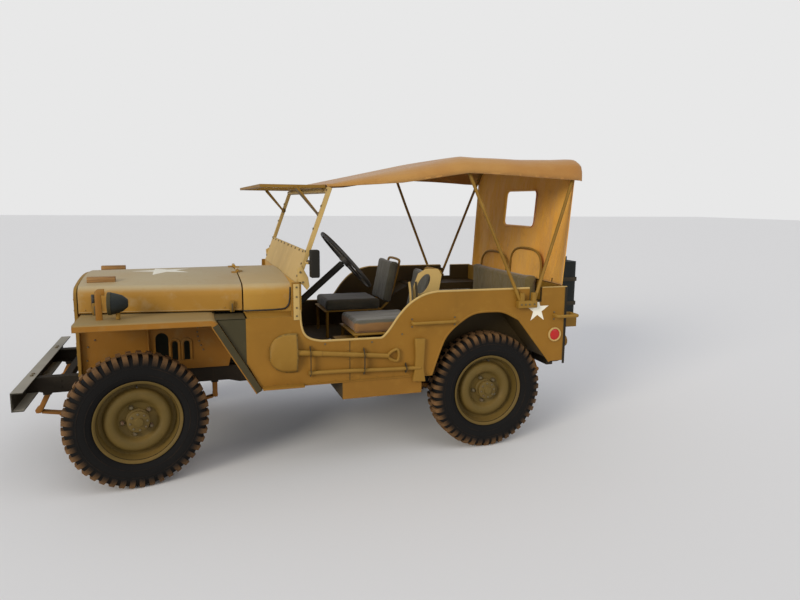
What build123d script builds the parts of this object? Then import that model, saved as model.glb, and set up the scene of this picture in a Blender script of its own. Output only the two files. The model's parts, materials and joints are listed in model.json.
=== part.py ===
"""An army 4x4 car with an open hollow body, a canvas top on two bows and steered front wheels.

Frame: X forward, Y to the car's left, Z up, millimetres.
Origin: on the ground under the centre of the overall box.
"""

from build123d import *
from math import cos, radians, sin
import os

# Driving dimensions
front_overhang = 549.0  # bumper to the front axle
wheelbase = 2032.0
rear_overhang = 759.0  # rear axle to the fuel can's or spare wheel's back
tub_half_width = 730.0
steer_rest = 9.1  # degrees to the left, as the front wheels stand
sheet = 6.0  # steel sheet with its rolled edges
wall = 20.0  # a body panel over its rolled edge
moving_gap = 7.0
pin_gap = 0.3
fit_gap = 0.4

# Stations along the car and places across it
overall_length = front_overhang + wheelbase + rear_overhang
front_x = overall_length / 2
rear_x = -overall_length / 2
front_axle_x = front_x - front_overhang
rear_axle_x = front_axle_x - wheelbase
overall_half_width = tub_half_width + 57.0
half_track = tub_half_width - 108.0

# Wheels
tyre_radius = 361.0
tyre_half_width = 80.0
tread_half_width = 62.0
tread_base = 346.0
lug_root_half = 76.0
lug_root = 322.0
wall_radius = 285.0
lug_count = 24
bead_half_width = 56.0
bead_radius = 203.0
flange_radius = 222.0
flange_wall = 6.0
barrel_wall = 8.0
hub_radius = 40.0
hub_cap_radius = 34.0
hub_reach = 62.0
drum_radius = 120.0
drum_wall = 8.0
drum_back = 57.0  # inboard edge of the drum, from the wheel's middle
drum_face = 15.0
spindle_radius = 18.0
spindle_reach = 38.0
wheel_z = tyre_radius

# Axles, steering knuckles and springs
axle_radius = 32.0
ball_radius = 50.0
shell_radius = 62.0
kingpin_y = half_track - 92.0
plate_wall = 4.0
plate_radius = 122.0
diff_radius = 125.0
diff_y = -150.0
diff_nose = 145.0
arm_reach = 170.0
arm_z = wheel_z + 53.0
arm_wall = 12.0
arm_half_width = 16.0
tie_rod_radius = 11.0
tie_rod_eye = 18.0
tie_rod_gap = 1.0
tie_rod_height = 26.0
tie_pin_radius = 8.0
spring_half_width = 22.0
spring_y = 345.0

# Ladder frame
rail_outer_y = 371.0
rail_width = 51.0
rail_wall = 6.0
rail_mid_top = 545.0
rail_mid_bottom = 455.0
rail_front_top = 558.0
rail_front_bottom = 470.0
hanger_z = 460.0
bumper_half_width = tub_half_width - 44.0
bumper_bottom = 473.0
bumper_top = 569.0
bumper_depth = 55.0

# Body
tub_inner_y = tub_half_width - wall
tub_rear_x = rear_x + 254.0
sill_z = 501.0
floor_top = 553.0
floor_wall = 8.0
side_top_z = 1000.0
door_front_x = front_axle_x - 865.0
cowl_top_z = 1077.0
shelf_z = 893.0
firewall_x = front_axle_x - 583.0
firewall_foot_z = 680.0
toe_foot_x = firewall_x - 72.0
wheel_house_inner_y = tub_half_width - 250.0
wheel_house_top_z = 885.0
house_wall = 8.0

# Hood, grille and fenders
hood_rear_x = firewall_x + moving_gap
hood_front_x = front_axle_x + 262.0
hood_rear_half = tub_half_width - 190.0
hood_front_half = 430.0
hood_crown_z = 1082.0
hood_shoulder_z = 1052.0
hood_corner = 60.0
hood_side_z = 907.0
hood_sheet = 8.0
hinge_x = hood_rear_x - 4
hinge_z = hood_crown_z + 10
hinge_radius = 9.0
hinge_pin_radius = 5.0
hinge_y = 100.0
hinge_leaf = 40.0
grille_x = hood_front_x + moving_gap
grille_wall = 16.0
grille_half = 415.0
grille_bottom_z = rail_front_top
fender_outer_y = tub_half_width + 15.0
fender_front_x = hood_front_x - 11.0
fender_top_z = hood_side_z - moving_gap
fender_bend_x = front_axle_x - 421.0
fender_foot_x = toe_foot_x + fit_gap
apron_inner_y = 385.0
lip_z = 850.0

# Windshield
shield_half_width = tub_half_width - 25.0
shield_base_x = door_front_x + 5.0
shield_tilt = 19.8
shield_height = 540.0
shield_half_wall = 11.0
post_width = 30.0
shield_panel_height = 175.0
glass_front_x = shield_base_x + 185.0
glass_rear_x = glass_front_x - 350.0
glass_z = cowl_top_z + 513.0
glass_half_width = shield_half_width - 45.0
glass_bar = 28.0
glass_bar_half_wall = 8.0

# Canvas top and its bows
bow_radius = 10.0
bow_foot_y = tub_half_width + 22.0
bow_foot_z = side_top_z - 75.0
bow_head_y = tub_half_width - 120.0
bow_head_z = 1762.0
front_bow_x = rear_axle_x + 176.0
rear_bow_x = tub_rear_x - 49.0
canvas_wall = 7.0
canvas_rear_x = rear_bow_x - 65.0

# Steering wheel
steering_hub = Vector(door_front_x - 341.0, tub_half_width - 350.0, cowl_top_z + 84.0)
steering_box = Vector(firewall_x + 37.0, rail_outer_y - 33.0, rail_front_top + 20.0)
steering_radius = 210.0
steering_rim = 11.0
column_radius = 20.0
shaft_end_radius = 10.0

# Seats
seat_top_z = 820.0
seat_base_z = 743.0
pan_wall = 8.0
seat_outer_y = tub_half_width - 130.0
seat_inner_y = seat_outer_y - 380.0
seat_rear_x = rear_axle_x + 411.0
seat_front_x = seat_rear_x + 422.0

# Spare wheel and fuel can
spare_y = -200.0
spare_z = side_top_z - 150.0
spare_x = rear_x + tyre_half_width
can_half_width = 172.0
can_y = 362.0
can_depth = 165.0
can_height = 470.0
can_z = sill_z + 210.0
can_gap = 30.0
tray_gap = 10.0
tray_lip = 60.0

pieces = {}


def slab(x0, x1, y0, y1, z0, z1, mode=Mode.ADD):
    """Box between two corners, in the part that is being built."""
    with BuildSketch(Plane.XY.offset(z0)) as section:
        with Locations(((x0 + x1) / 2, (y0 + y1) / 2)):
            Rectangle(abs(x1 - x0), abs(y1 - y0))
    extrude(section.sketch, amount=z1 - z0, mode=mode)


def rod(start, end, radius, mode=Mode.ADD):
    """Round bar between two points."""
    foot = Vector(*start)
    run = Vector(*end) - foot
    with BuildSketch(Plane(origin=foot, z_dir=run)) as section:
        Circle(radius)
    extrude(section.sketch, amount=run.length, mode=mode)


def pipe(points, radius, bend):
    """Round bar along straight runs joined by arcs."""
    with BuildLine() as route:
        FilletPolyline(*points, radius=bend)
    with BuildSketch(Plane(origin=route.line @ 0, z_dir=route.line % 0)) as section:
        Circle(radius)
    sweep(section.sketch, path=route.line)


def side_plate(points, y_low, y_high, mode=Mode.ADD):
    """Plate with a side view outline (x, z) between two widths."""
    with BuildSketch(Plane.XZ.offset(-y_high)) as section:
        with BuildLine():
            Polyline(*points, close=True)
        make_face()
    extrude(section.sketch, amount=y_high - y_low, mode=mode)


def turned(plane, outline, mode=Mode.ADD):
    """Solid of revolution: outline (along the axis, radius) about the plane's own X axis."""
    with BuildSketch(plane) as section:
        with BuildLine():
            Polyline(*outline, close=True)
        make_face()
    revolve(section.sketch, axis=Axis(plane.origin, plane.x_dir), mode=mode)


def axle_plane(centre, outward):
    """Plane whose X axis runs outward along a wheel's axle, with Z up."""
    return Plane(origin=centre, x_dir=outward, z_dir=outward.rotate(Axis.Z, -90))


# Places of the wheels, each with its outward direction
steer = radians(steer_rest)
left_out = Vector(-sin(steer), cos(steer), 0)
right_out = -left_out
kingpin_left = Vector(front_axle_x, kingpin_y, wheel_z)
kingpin_right = Vector(front_axle_x, -kingpin_y, wheel_z)
wheel_offset = half_track - kingpin_y
wheel_places = {
    "front_left": (kingpin_left + left_out * wheel_offset, left_out),
    "front_right": (kingpin_right + right_out * wheel_offset, right_out),
    "rear_left": (Vector(rear_axle_x, half_track, wheel_z), Vector(0, 1, 0)),
    "rear_right": (Vector(rear_axle_x, -half_track, wheel_z), Vector(0, -1, 0)),
}
spare_plane = axle_plane(Vector(spare_x, spare_y, spare_z), Vector(-1, 0, 0))

# Outlines along a wheel's axle: (place along the axle, radius)
flange_half = bead_half_width + fit_gap + flange_wall
barrel_outline = [
    (-flange_half, bead_radius - barrel_wall),
    (flange_half, bead_radius - barrel_wall),
    (flange_half, flange_radius),
    (flange_half - flange_wall, flange_radius),
    (flange_half - flange_wall, bead_radius),
    (flange_wall - flange_half, bead_radius),
    (flange_wall - flange_half, flange_radius),
    (-flange_half, flange_radius),
]
disc_outline = [
    (8, hub_radius - 1),
    (8, 100),
    (24, 150),
    (18, bead_radius - barrel_wall + 1),
    (24, bead_radius - barrel_wall + 1),
    (30, 150),
    (14, 100),
    (14, hub_radius - 1),
]
hub_outline = [
    (-drum_face - drum_wall, spindle_radius + fit_gap),
    (spindle_reach + 4, spindle_radius + fit_gap),
    (spindle_reach + 4, 0),
    (hub_reach + 8, 0),
    (hub_reach + 8, hub_cap_radius),
    (hub_reach, hub_cap_radius),
    (hub_reach, hub_radius),
    (-drum_face, hub_radius),
    (-drum_face, drum_radius),
    (-drum_back, drum_radius),
    (-drum_back, drum_radius - drum_wall),
    (-drum_face - drum_wall, drum_radius - drum_wall),
]



def tyre_facets():
    """Flat faces of a tyre with a staggered row of lugs on each half: X along the axle, a lug's foot down."""
    pitch = radians(360 / lug_count)
    edge = pitch / 2
    bead = bead_half_width - 8
    bore = bead_radius + fit_gap
    lug_spans = {1: (-0.44 * pitch, -0.02 * pitch), -1: (0.02 * pitch, 0.44 * pitch)}
    faces = []
    for number in range(lug_count):
        turn = number * pitch

        def face(*corners):
            """One face from corners (along, distance of its facet from the axle, angle in the facet)."""
            points = []
            for along, facet, angle in corners:
                reach = facet / cos(angle)
                points.append((along, -reach * cos(turn + angle), reach * sin(turn + angle)))
            faces.append(Face(Wire.make_polygon([Vector(*point) for point in points], close=True)))

        for half, (low, high) in lug_spans.items():
            tip = half * tread_half_width
            root = half * lug_root_half
            wide = half * tyre_half_width
            other_low, other_high = lug_spans[-half]
            before = [angle for angle in (other_low, other_high) if angle < low]
            after = [angle for angle in (other_low, other_high) if angle > high]
            for start, stop, between in ((-edge, low, before), (high, edge, after)):
                middle = [(0, tread_base, angle) for angle in between]
                face((0, tread_base, start), *middle, (0, tread_base, stop), (root, lug_root, stop),
                     (root, lug_root, start))
            face((0, tyre_radius, low), (0, tyre_radius, high), (tip, tyre_radius, high), (tip, tyre_radius, low))
            face((tip, tyre_radius, low), (tip, tyre_radius, high), (root, lug_root, high), (root, lug_root, low))
            face((0, tread_base, low), (0, tread_base, high), (0, tyre_radius, high), (0, tyre_radius, low))
            for side in (low, high):
                face((0, tread_base, side), (0, tyre_radius, side), (tip, tyre_radius, side), (root, lug_root, side))
            face((root, lug_root, -edge), (root, lug_root, low), (root, lug_root, high), (root, lug_root, edge),
                 (wide, wall_radius, edge), (wide, wall_radius, -edge))
            face((wide, wall_radius, -edge), (wide, wall_radius, edge), (half * bead, bore, edge),
                 (half * bead, bore, -edge))
        face((-bead, bore, -edge), (-bead, bore, edge), (bead, bore, edge), (bead, bore, -edge))
    return faces


# Road wheels: a rim with its hub and drum, and a tyre round it
tyre_form = Solid(Shell(tyre_facets()))
for name, (centre, outward) in wheel_places.items():
    plane = axle_plane(centre, outward)
    with BuildPart() as rim:
        turned(plane, barrel_outline)
        turned(plane, disc_outline)
        turned(plane, hub_outline)
    pieces[f"rim_{name}"] = rim
    with BuildPart() as tyre:
        add(plane.location * tyre_form)
    pieces[f"tyre_{name}"] = tyre

with BuildPart() as spare_rim:
    turned(spare_plane, barrel_outline)
    turned(spare_plane, disc_outline)
pieces["spare_rim"] = spare_rim

with BuildPart() as spare_tyre:
    add(spare_plane.location * tyre_form)
pieces["spare_tyre"] = spare_tyre

# Axles: tubes with the differential to the right of the middle, and pads on the springs
spring_pad_z = wheel_z - axle_radius - 3
back_plate_y = half_track - drum_back - moving_gap
with BuildPart() as front_axle:
    rod(kingpin_right, kingpin_left, axle_radius)
    with Locations(kingpin_left, kingpin_right):
        Sphere(ball_radius)
    with Locations((front_axle_x, diff_y, wheel_z)):
        Sphere(diff_radius)
    rod((front_axle_x, diff_y, wheel_z), (front_axle_x - diff_nose, diff_y, wheel_z), 45)
    for y in (-spring_y, spring_y):
        slab(front_axle_x - 45, front_axle_x + 45, y - 24, y + 24, spring_pad_z, wheel_z)
pieces["front_axle"] = front_axle

with BuildPart() as rear_axle:
    tube_end = back_plate_y - plate_wall
    rod((rear_axle_x, -tube_end, wheel_z), (rear_axle_x, tube_end, wheel_z), axle_radius)
    spindle_end = half_track + spindle_reach
    rod((rear_axle_x, -spindle_end, wheel_z), (rear_axle_x, spindle_end, wheel_z), spindle_radius)
    with Locations((rear_axle_x, diff_y, wheel_z)):
        Sphere(diff_radius)
    rod((rear_axle_x, diff_y, wheel_z), (rear_axle_x + diff_nose, diff_y, wheel_z), 45)
    for side in (-1, 1):
        inner = Vector(rear_axle_x, side * tube_end, wheel_z)
        outer = Vector(rear_axle_x, side * back_plate_y, wheel_z)
        rod(inner, outer, plate_radius)
        y = side * spring_y
        slab(rear_axle_x - 45, rear_axle_x + 45, y - 24, y + 24, spring_pad_z, wheel_z)
pieces["rear_axle"] = rear_axle

# Steering knuckles: a shell round the axle's ball, backing plate, spindle and arm
forward_left = Vector(cos(steer), sin(steer), 0)
plate_start = wheel_offset - drum_back - moving_gap - plate_wall
plate_bore = shell_radius - 8
shell_inner = ball_radius + fit_gap
for name, kingpin, outward in (
    ("knuckle_left", kingpin_left, left_out),
    ("knuckle_right", kingpin_right, right_out),
):
    plane = axle_plane(kingpin, outward)
    with BuildPart() as knuckle:
        with BuildSketch(plane) as section:
            with BuildLine():
                RadiusArc((0, shell_radius), (shell_radius, 0), shell_radius)
                Line((shell_radius, 0), (shell_inner, 0))
                RadiusArc((shell_inner, 0), (0, shell_inner), -shell_inner)
                Line((0, shell_inner), (0, shell_radius))
            make_face()
        revolve(section.sketch, axis=Axis(plane.origin, plane.x_dir))
        turned(plane, [(plate_start, plate_bore), (plate_start + plate_wall, plate_bore),
                       (plate_start + plate_wall, plate_radius), (plate_start, plate_radius)])
        spindle_foot = ball_radius + 4
        turned(plane, [(spindle_foot, 0), (wheel_offset + spindle_reach, 0),
                       (wheel_offset + spindle_reach, spindle_radius), (spindle_foot, spindle_radius)])
        arm_plane = Plane(origin=(kingpin.X, kingpin.Y, arm_z), x_dir=-forward_left, z_dir=(0, 0, 1))
        with BuildSketch(arm_plane):
            with Locations((arm_reach / 2, 0)):
                SlotCenterToCenter(arm_reach, 2 * arm_half_width)
        extrude(amount=arm_wall)
        pin_foot = kingpin - forward_left * arm_reach
        pin_foot = Vector(pin_foot.X, pin_foot.Y, arm_z)
        rod(pin_foot, pin_foot + Vector(0, 0, arm_wall + tie_rod_gap + tie_rod_height), tie_pin_radius)
    pieces[name] = knuckle

tie_rod_z = arm_z + arm_wall + tie_rod_gap + tie_rod_height / 2
with BuildPart() as tie_rod:
    ends = [kingpin - forward_left * arm_reach for kingpin in (kingpin_left, kingpin_right)]
    ends = [Vector(end.X, end.Y, tie_rod_z) for end in ends]
    rod(ends[0], ends[1], tie_rod_radius)
    for end in ends:
        half = Vector(0, 0, tie_rod_height / 2)
        rod(end - half, end + half, tie_rod_eye)
        rod(end - half * 2, end + half * 2, tie_pin_radius + fit_gap, mode=Mode.SUBTRACT)
pieces["tie_rod"] = tie_rod

# Leaf springs under the axles: centre, fixed eye and swinging eye with its shackle (x, z)
spring_rows = (
    # axle x, fixed eye x, fixed eye z, swinging eye x, swinging eye z, shackle top x
    (front_axle_x, front_axle_x - 421.0, 386.0, front_x - 50.0, 376.0, front_x - 98.0),
    (rear_axle_x, rear_axle_x + 516.0, 386.0, tub_rear_x - 24.0, 380.0, tub_rear_x + 16.0),
)
spring_pack = 42.0
spring_leaf = 9.0
eye_radius = 15.0
with BuildPart() as leaf_springs:
    for axle_x, fixed_x, fixed_z, swing_x, swing_z, shackle_x in spring_rows:
        for y in (-spring_y, spring_y):
            y0 = y - spring_half_width
            y1 = y + spring_half_width
            top = spring_pad_z + 3
            with BuildSketch(Plane.XZ.offset(-y1)) as section:
                with BuildLine():
                    ThreePointArc((fixed_x, fixed_z), (axle_x, top), (swing_x, swing_z))
                    Line((swing_x, swing_z), (swing_x, swing_z - spring_leaf))
                    ThreePointArc((swing_x, swing_z - spring_leaf), (axle_x, top - spring_pack),
                                  (fixed_x, fixed_z - spring_leaf))
                    Line((fixed_x, fixed_z - spring_leaf), (fixed_x, fixed_z))
                make_face()
            extrude(section.sketch, amount=y1 - y0)
            slab(axle_x - 46, axle_x + 46, y0 - 1, y1 + 1, spring_pad_z, spring_pad_z + 30, mode=Mode.SUBTRACT)
            for eye_x, eye_z in ((fixed_x, fixed_z), (swing_x, swing_z)):
                rod((eye_x, y0, eye_z), (eye_x, y1, eye_z), eye_radius)
            for foot_x, foot_z, head_x in ((fixed_x, fixed_z, fixed_x), (swing_x, swing_z, shackle_x)):
                side_plate([(foot_x - 12, foot_z - 12), (foot_x + 12, foot_z - 12),
                            (head_x + 16, hanger_z), (head_x - 16, hanger_z)], y0 - 5, y1 + 4)
pieces["leaf_springs"] = leaf_springs

# Ladder frame: channel rails (x, z), cross members, skid plate and towing hook
frame_front_x = front_x - rail_wall
bumper_back_x = front_x - bumper_depth
frame_rear_x = tub_rear_x + wall
rail_outline = [
    (frame_front_x, rail_front_top), (firewall_x + 62, rail_front_top), (firewall_x - 18, rail_mid_top),
    (frame_rear_x, rail_mid_top), (frame_rear_x, hanger_z), (rear_axle_x + 551, hanger_z),
    (rear_axle_x + 571, rail_mid_bottom), (firewall_x + 22, rail_mid_bottom), (firewall_x + 82, rail_front_bottom),
    (bumper_back_x - 40, rail_front_bottom), (bumper_back_x - 5, bumper_bottom + rail_wall),
    (frame_front_x, bumper_bottom + rail_wall),
]
cross_rows = (
    # x low, x high, half width, z low, z high
    (hood_front_x - 113.0, hood_front_x - 53.0, rail_outer_y - 5.0, 478.0, 520.0),
    (front_x - 190.0, front_x - 150.0, rail_outer_y - 5.0, 480.0, 520.0),
    (rear_axle_x + 291.0, rear_axle_x + 341.0, rail_outer_y - 5.0, 480.0, 530.0),
    (frame_rear_x - 44.0, frame_rear_x + 1, tub_half_width - 170.0, hanger_z, 528.0),
)
skid_z = 396.0
gearbox_rear_x = firewall_x - 388.0
skid_front_x = gearbox_rear_x + 30.0
skid_rear_x = gearbox_rear_x - 210.0
with BuildPart() as frame:
    y1 = rail_outer_y
    y0 = rail_outer_y - rail_width
    side_plate(rail_outline, y0, y1)
    with BuildSketch(Plane.XZ.offset(-(y1 - rail_wall))) as hollow:
        with BuildLine():
            Polyline(*rail_outline, close=True)
        make_face()
        offset(amount=-rail_wall, kind=Kind.INTERSECTION, mode=Mode.REPLACE)
    extrude(hollow.sketch, amount=rail_width, mode=Mode.SUBTRACT)
    for x, z in ((front_x - 98.0, rail_front_bottom), (front_axle_x - 421.0, rail_front_bottom)):
        slab(x - 20, x + 20, spring_y - 24, spring_y + 24, hanger_z, z + 3)
    slab(skid_front_x, skid_rear_x, y1 - 12, y1, skid_z, rail_mid_bottom + 5)
    mirror(about=Plane.XZ)
    for x0, x1, half, z0, z1 in cross_rows:
        slab(x0, x1, -half, half, z0, z1)
    slab(skid_front_x, skid_rear_x, -y1, y1, skid_z, skid_z + 12)
pieces["frame"] = frame

# Bumpers: a front channel open to the rear, two rear bars, and the towing hook between them
hook_x = frame_rear_x - 44.0
hook_z = hanger_z + 10.0
with BuildPart() as bumpers:
    slab(bumper_back_x, front_x, -bumper_half_width, bumper_half_width, bumper_bottom, bumper_top)
    slab(bumper_back_x, front_x - rail_wall, -bumper_half_width, bumper_half_width,
         bumper_bottom + rail_wall, bumper_top - rail_wall, mode=Mode.SUBTRACT)
    for side in (-1, 1):
        y = side * (tub_half_width - 300.0)
        pipe([(hook_x, y - 100, hook_z + 22), (hook_x - 70, y - 100, hook_z + 22),
              (hook_x - 70, y + 100, hook_z + 22), (hook_x, y + 100, hook_z + 22)], 22, 30)
    slab(hook_x, hook_x - 6, -34, 34, hook_z - 8, hook_z + 30)
    rod((hook_x - 5, 0, hook_z + 4), (hook_x - 50, 0, hook_z + 4), 14)
    side_plate([(hook_x - 45, hook_z - 20), (hook_x - 45, hook_z + 20), (hook_x - 95, hook_z + 20),
                (hook_x - 95, hook_z - 30), (hook_x - 80, hook_z - 30), (hook_x - 80, hook_z),
                (hook_x - 60, hook_z), (hook_x - 60, hook_z - 20)], -12, 12)
pieces["bumpers"] = bumpers

# Engine with its sump, gearbox, transfer case and radiator
gearbox_half = 100.0
gearbox_top = 600.0
transfer_top = rail_mid_top - 8
with BuildPart() as engine_block:
    engine_x = firewall_x + 22.0
    slab(engine_x, engine_x + 525, -170, 150, 500, 880)
    slab(engine_x + 60, engine_x + 380, -100, 150, 460, 501)
    slab(gearbox_rear_x, engine_x + 1, -gearbox_half, gearbox_half, 440, gearbox_top)
    slab(skid_rear_x, gearbox_rear_x + 1, -220, 60, skid_z + 12, transfer_top)
    slab(hood_front_x - 93, hood_front_x - 43, -215, 215, 520, 1000)
pieces["engine_block"] = engine_block

# Propeller shafts and exhaust, each along a table of runs
shaft_radius = 26.0
shaft_z = 450.0
with BuildPart() as drive_shafts:
    for start_x, end_x in (
        (gearbox_rear_x + 1, front_axle_x - diff_nose),
        (skid_rear_x, rear_axle_x + diff_nose),
    ):
        way = 10 if end_x > start_x else -10
        rod((start_x, diff_y, shaft_z), (start_x + way, diff_y, shaft_z), 38)
        rod((start_x + way / 2, diff_y, shaft_z), (end_x - way / 2, diff_y, wheel_z), shaft_radius)
        rod((end_x - way, diff_y, wheel_z), (end_x, diff_y, wheel_z), 38)
pieces["drive_shafts"] = drive_shafts

muffler_x = rear_axle_x + 791.0
muffler_y = 170.0 - tub_half_width
muffler_z = 470.0
down_pipe_y = -170.0
down_pipe_z = 540.0
with BuildPart() as exhaust:
    rod((muffler_x, muffler_y, muffler_z), (muffler_x + 450, muffler_y, muffler_z), 58)
    pipe([(muffler_x + 445, muffler_y, muffler_z), (firewall_x - 68, muffler_y, muffler_z),
          (engine_x, muffler_y + 130, muffler_z - 45), (engine_x + 40, -240, muffler_z - 45),
          (engine_x + 140, -240, down_pipe_z), (engine_x + 140, down_pipe_y, down_pipe_z)], 20, 30)
    pipe([(muffler_x + 5, muffler_y, muffler_z), (muffler_x - 260, muffler_y, muffler_z),
          (muffler_x - 340, muffler_y - 140, muffler_z - 20)], 20, 40)
pieces["exhaust"] = exhaust

# Body floor with toe board, tunnel and the well for the fuel tank
well_rear_x = rear_axle_x + 456.0
well_front_x = well_rear_x + 475.0
well_bottom_z = 402.0
well_inner_y = rail_outer_y + 17.0
well_outer_y = tub_half_width - 4.0
tunnel_half = gearbox_half + 14
tunnel_top = gearbox_top + 14
with BuildPart() as tub_floor:
    floor_bottom = floor_top - floor_wall
    slab(frame_rear_x, toe_foot_x, -wheel_house_inner_y, wheel_house_inner_y, floor_bottom, floor_top)
    slab(rear_axle_x + 411, toe_foot_x, -tub_inner_y, tub_inner_y, floor_bottom, floor_top)
    side_plate([(toe_foot_x, floor_bottom), (firewall_x, firewall_foot_z), (firewall_x, cowl_top_z - 60),
                (firewall_x - floor_wall, cowl_top_z - 60), (firewall_x - floor_wall, firewall_foot_z),
                (toe_foot_x - floor_wall, floor_bottom)], -hood_rear_half + 30, hood_rear_half - 30)
    side_plate([(toe_foot_x, floor_bottom), (firewall_x, firewall_foot_z), (firewall_x, shelf_z - floor_wall),
                (firewall_x - floor_wall, shelf_z - floor_wall), (firewall_x - floor_wall, firewall_foot_z),
                (toe_foot_x - floor_wall, floor_bottom)], -tub_inner_y, tub_inner_y)
    slab(gearbox_rear_x - 14, firewall_x, -tunnel_half, tunnel_half, floor_bottom, tunnel_top)
    slab(gearbox_rear_x - 8, firewall_x + 1, 6 - tunnel_half, tunnel_half - 6, floor_bottom, tunnel_top - 6,
         mode=Mode.SUBTRACT)
    slab(well_rear_x, well_front_x, well_inner_y, well_outer_y, well_bottom_z, sill_z)
    slab(well_rear_x, well_front_x, well_inner_y, tub_inner_y, sill_z, floor_top)
    slab(well_rear_x + sheet, well_front_x - sheet, well_inner_y + sheet, tub_inner_y - sheet,
         well_bottom_z + sheet, floor_top, mode=Mode.SUBTRACT)
    rod(steering_hub, steering_box, column_radius + 8, mode=Mode.SUBTRACT)
pieces["tub_floor"] = tub_floor

tank_top_z = 700.0
cap_top_z = 722.0
with BuildPart() as fuel_tank:
    slab(well_rear_x + 15, well_front_x - 15, well_inner_y + 12, tub_inner_y - 12, well_bottom_z + sheet,
         tank_top_z)
    cap_x = well_rear_x + 155.0
    rod((cap_x, tub_half_width - 90, tank_top_z - 10), (cap_x, tub_half_width - 90, cap_top_z), 30)
pieces["fuel_tank"] = fuel_tank

# Body sides: the door opening, the wheel arch and the wheel house behind it (x, z)
arch_rows = (
    # x from the rear axle, z
    (396.0, sill_z), (345.0, 651.0), (302.0, 739.0), (221.0, 813.0), (125.0, 863.0), (4.0, 870.0),
    (-74.0, 860.0), (-172.0, 812.0), (-399.0, 532.0),
)
door_front_rows = ((0.0, cowl_top_z), (0.0, 927.0), (-14.0, 805.0), (-52.0, 769.0), (-108.0, 749.0))
door_rear_rows = ((702.0, 745.0), (649.0, 800.0), (596.0, 873.0), (536.0, 934.0), (475.0, 972.0), (377.0, side_top_z))
house_rows = ((404.0, floor_top), (353.0, 654.0), (310.0, 745.0), (228.0, 821.0), (131.0, 872.0),
              (125.0, wheel_house_top_z))
locker_rows = ((-181.0, 877.0), (-477.0, 877.0), (-477.0, floor_top + house_wall), (-392.0, floor_top + house_wall))
arch_points = [(rear_axle_x + x, z) for x, z in arch_rows]
door_points = [(door_front_x + x, z) for x, z in door_front_rows]
door_points += [(rear_axle_x + x, z) for x, z in door_rear_rows]
house_points = [(rear_axle_x + x, z) for x, z in house_rows]
house_points += [(frame_rear_x, wheel_house_top_z), (frame_rear_x, floor_top)]
locker_points = [(rear_axle_x + x, z) for x, z in locker_rows]
arch_foot_x = rear_axle_x - 415.0
notch_rear_x = rear_axle_x - 324.0
notch_front_x = rear_axle_x - 239.0
bracket_front_x = rear_axle_x - 149.0
step_front_x = toe_foot_x
step_rear_x = door_front_x - 13.0
for name, side in (("tub_left_side", 1), ("tub_right_side", -1)):
    with BuildPart() as tub_side:
        side_plate([(toe_foot_x, sill_z), (firewall_x + 6, firewall_foot_z - 30), (firewall_x + 6, shelf_z)]
                   + [(door_front_x + 46, shelf_z), (door_front_x + 40, cowl_top_z)] + door_points
                   + [(frame_rear_x, side_top_z), (frame_rear_x, 532)] + arch_points[::-1],
                   tub_inner_y, tub_half_width)
        side_plate(house_points, wheel_house_inner_y, tub_inner_y + 1)
        side_plate([(arch_points[0][0], sill_z - 20)] + arch_points[1:-1]
                   + [(arch_foot_x, sill_z + 11), (arch_foot_x, sill_z - 20)],
                   wheel_house_inner_y + house_wall, tub_half_width + 1, mode=Mode.SUBTRACT)
        side_plate(locker_points, wheel_house_inner_y + house_wall, tub_inner_y, mode=Mode.SUBTRACT)
        slab(door_front_x + 16, firewall_x + 6, hood_rear_half - 2, tub_inner_y + 1,
             shelf_z - floor_wall, shelf_z)
        slab(notch_rear_x, notch_front_x, tub_inner_y - 1, tub_half_width + 1, side_top_z - 88, side_top_z + 1,
             mode=Mode.SUBTRACT)
        slab(notch_front_x, bracket_front_x, tub_half_width - 1, bow_foot_y + 12, bow_foot_z - 40, bow_foot_z)
        slab(step_rear_x, step_front_x, tub_half_width - 1, tub_half_width + 50, sill_z + 5, sill_z + 15)
        if side < 0:
            mirror(about=Plane.XZ, mode=Mode.REPLACE)
    pieces[name] = tub_side

# Rear panel with the spare wheel's bracket and the can's tray
tray_y0 = can_y - can_half_width - tray_gap
tray_y1 = can_y + can_half_width + tray_gap
tray_rear_x = tub_rear_x - can_gap - can_depth - 8
with BuildPart() as tub_rear_panel:
    slab(tub_rear_x, frame_rear_x, -tub_half_width, tub_half_width, 532, side_top_z)
    fillet(tub_rear_panel.edges().filter_by(Axis.Z).group_by(Axis.X)[0], wall - 2)
    rod((tub_rear_x + 1, spare_y, spare_z), (spare_x - 8, spare_y, spare_z), 55)
    slab(tray_rear_x, tub_rear_x + 1, tray_y0, tray_y1, can_z - 8, can_z)
    for y in (tray_y0, tray_y1 - sheet):
        slab(tray_rear_x, tub_rear_x + 1, y, y + sheet, can_z - 8, can_z + tray_lip)
    slab(tray_rear_x, tray_rear_x + sheet, tray_y0, tray_y1, can_z - 8, can_z + tray_lip)
pieces["tub_rear_panel"] = tub_rear_panel

with BuildPart() as fuel_can:
    can_x1 = tub_rear_x - can_gap
    slab(can_x1 - can_depth, can_x1, can_y - can_half_width, can_y + can_half_width, can_z, can_z + can_height - 45)
    fillet(fuel_can.edges().filter_by(Axis.Z), 25)
    middle_x = can_x1 - can_depth / 2
    for x in (middle_x - 45, middle_x, middle_x + 45):
        pipe([(x, can_y - 70, can_z + can_height - 50), (x, can_y - 60, can_z + can_height - 9),
              (x, can_y + 60, can_z + can_height - 9), (x, can_y + 70, can_z + can_height - 50)], 8, 14)
    rod((middle_x, can_y + 120, can_z + can_height - 50), (middle_x, can_y + 120, can_z + can_height - 14), 28)
pieces["fuel_can"] = fuel_can


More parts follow.
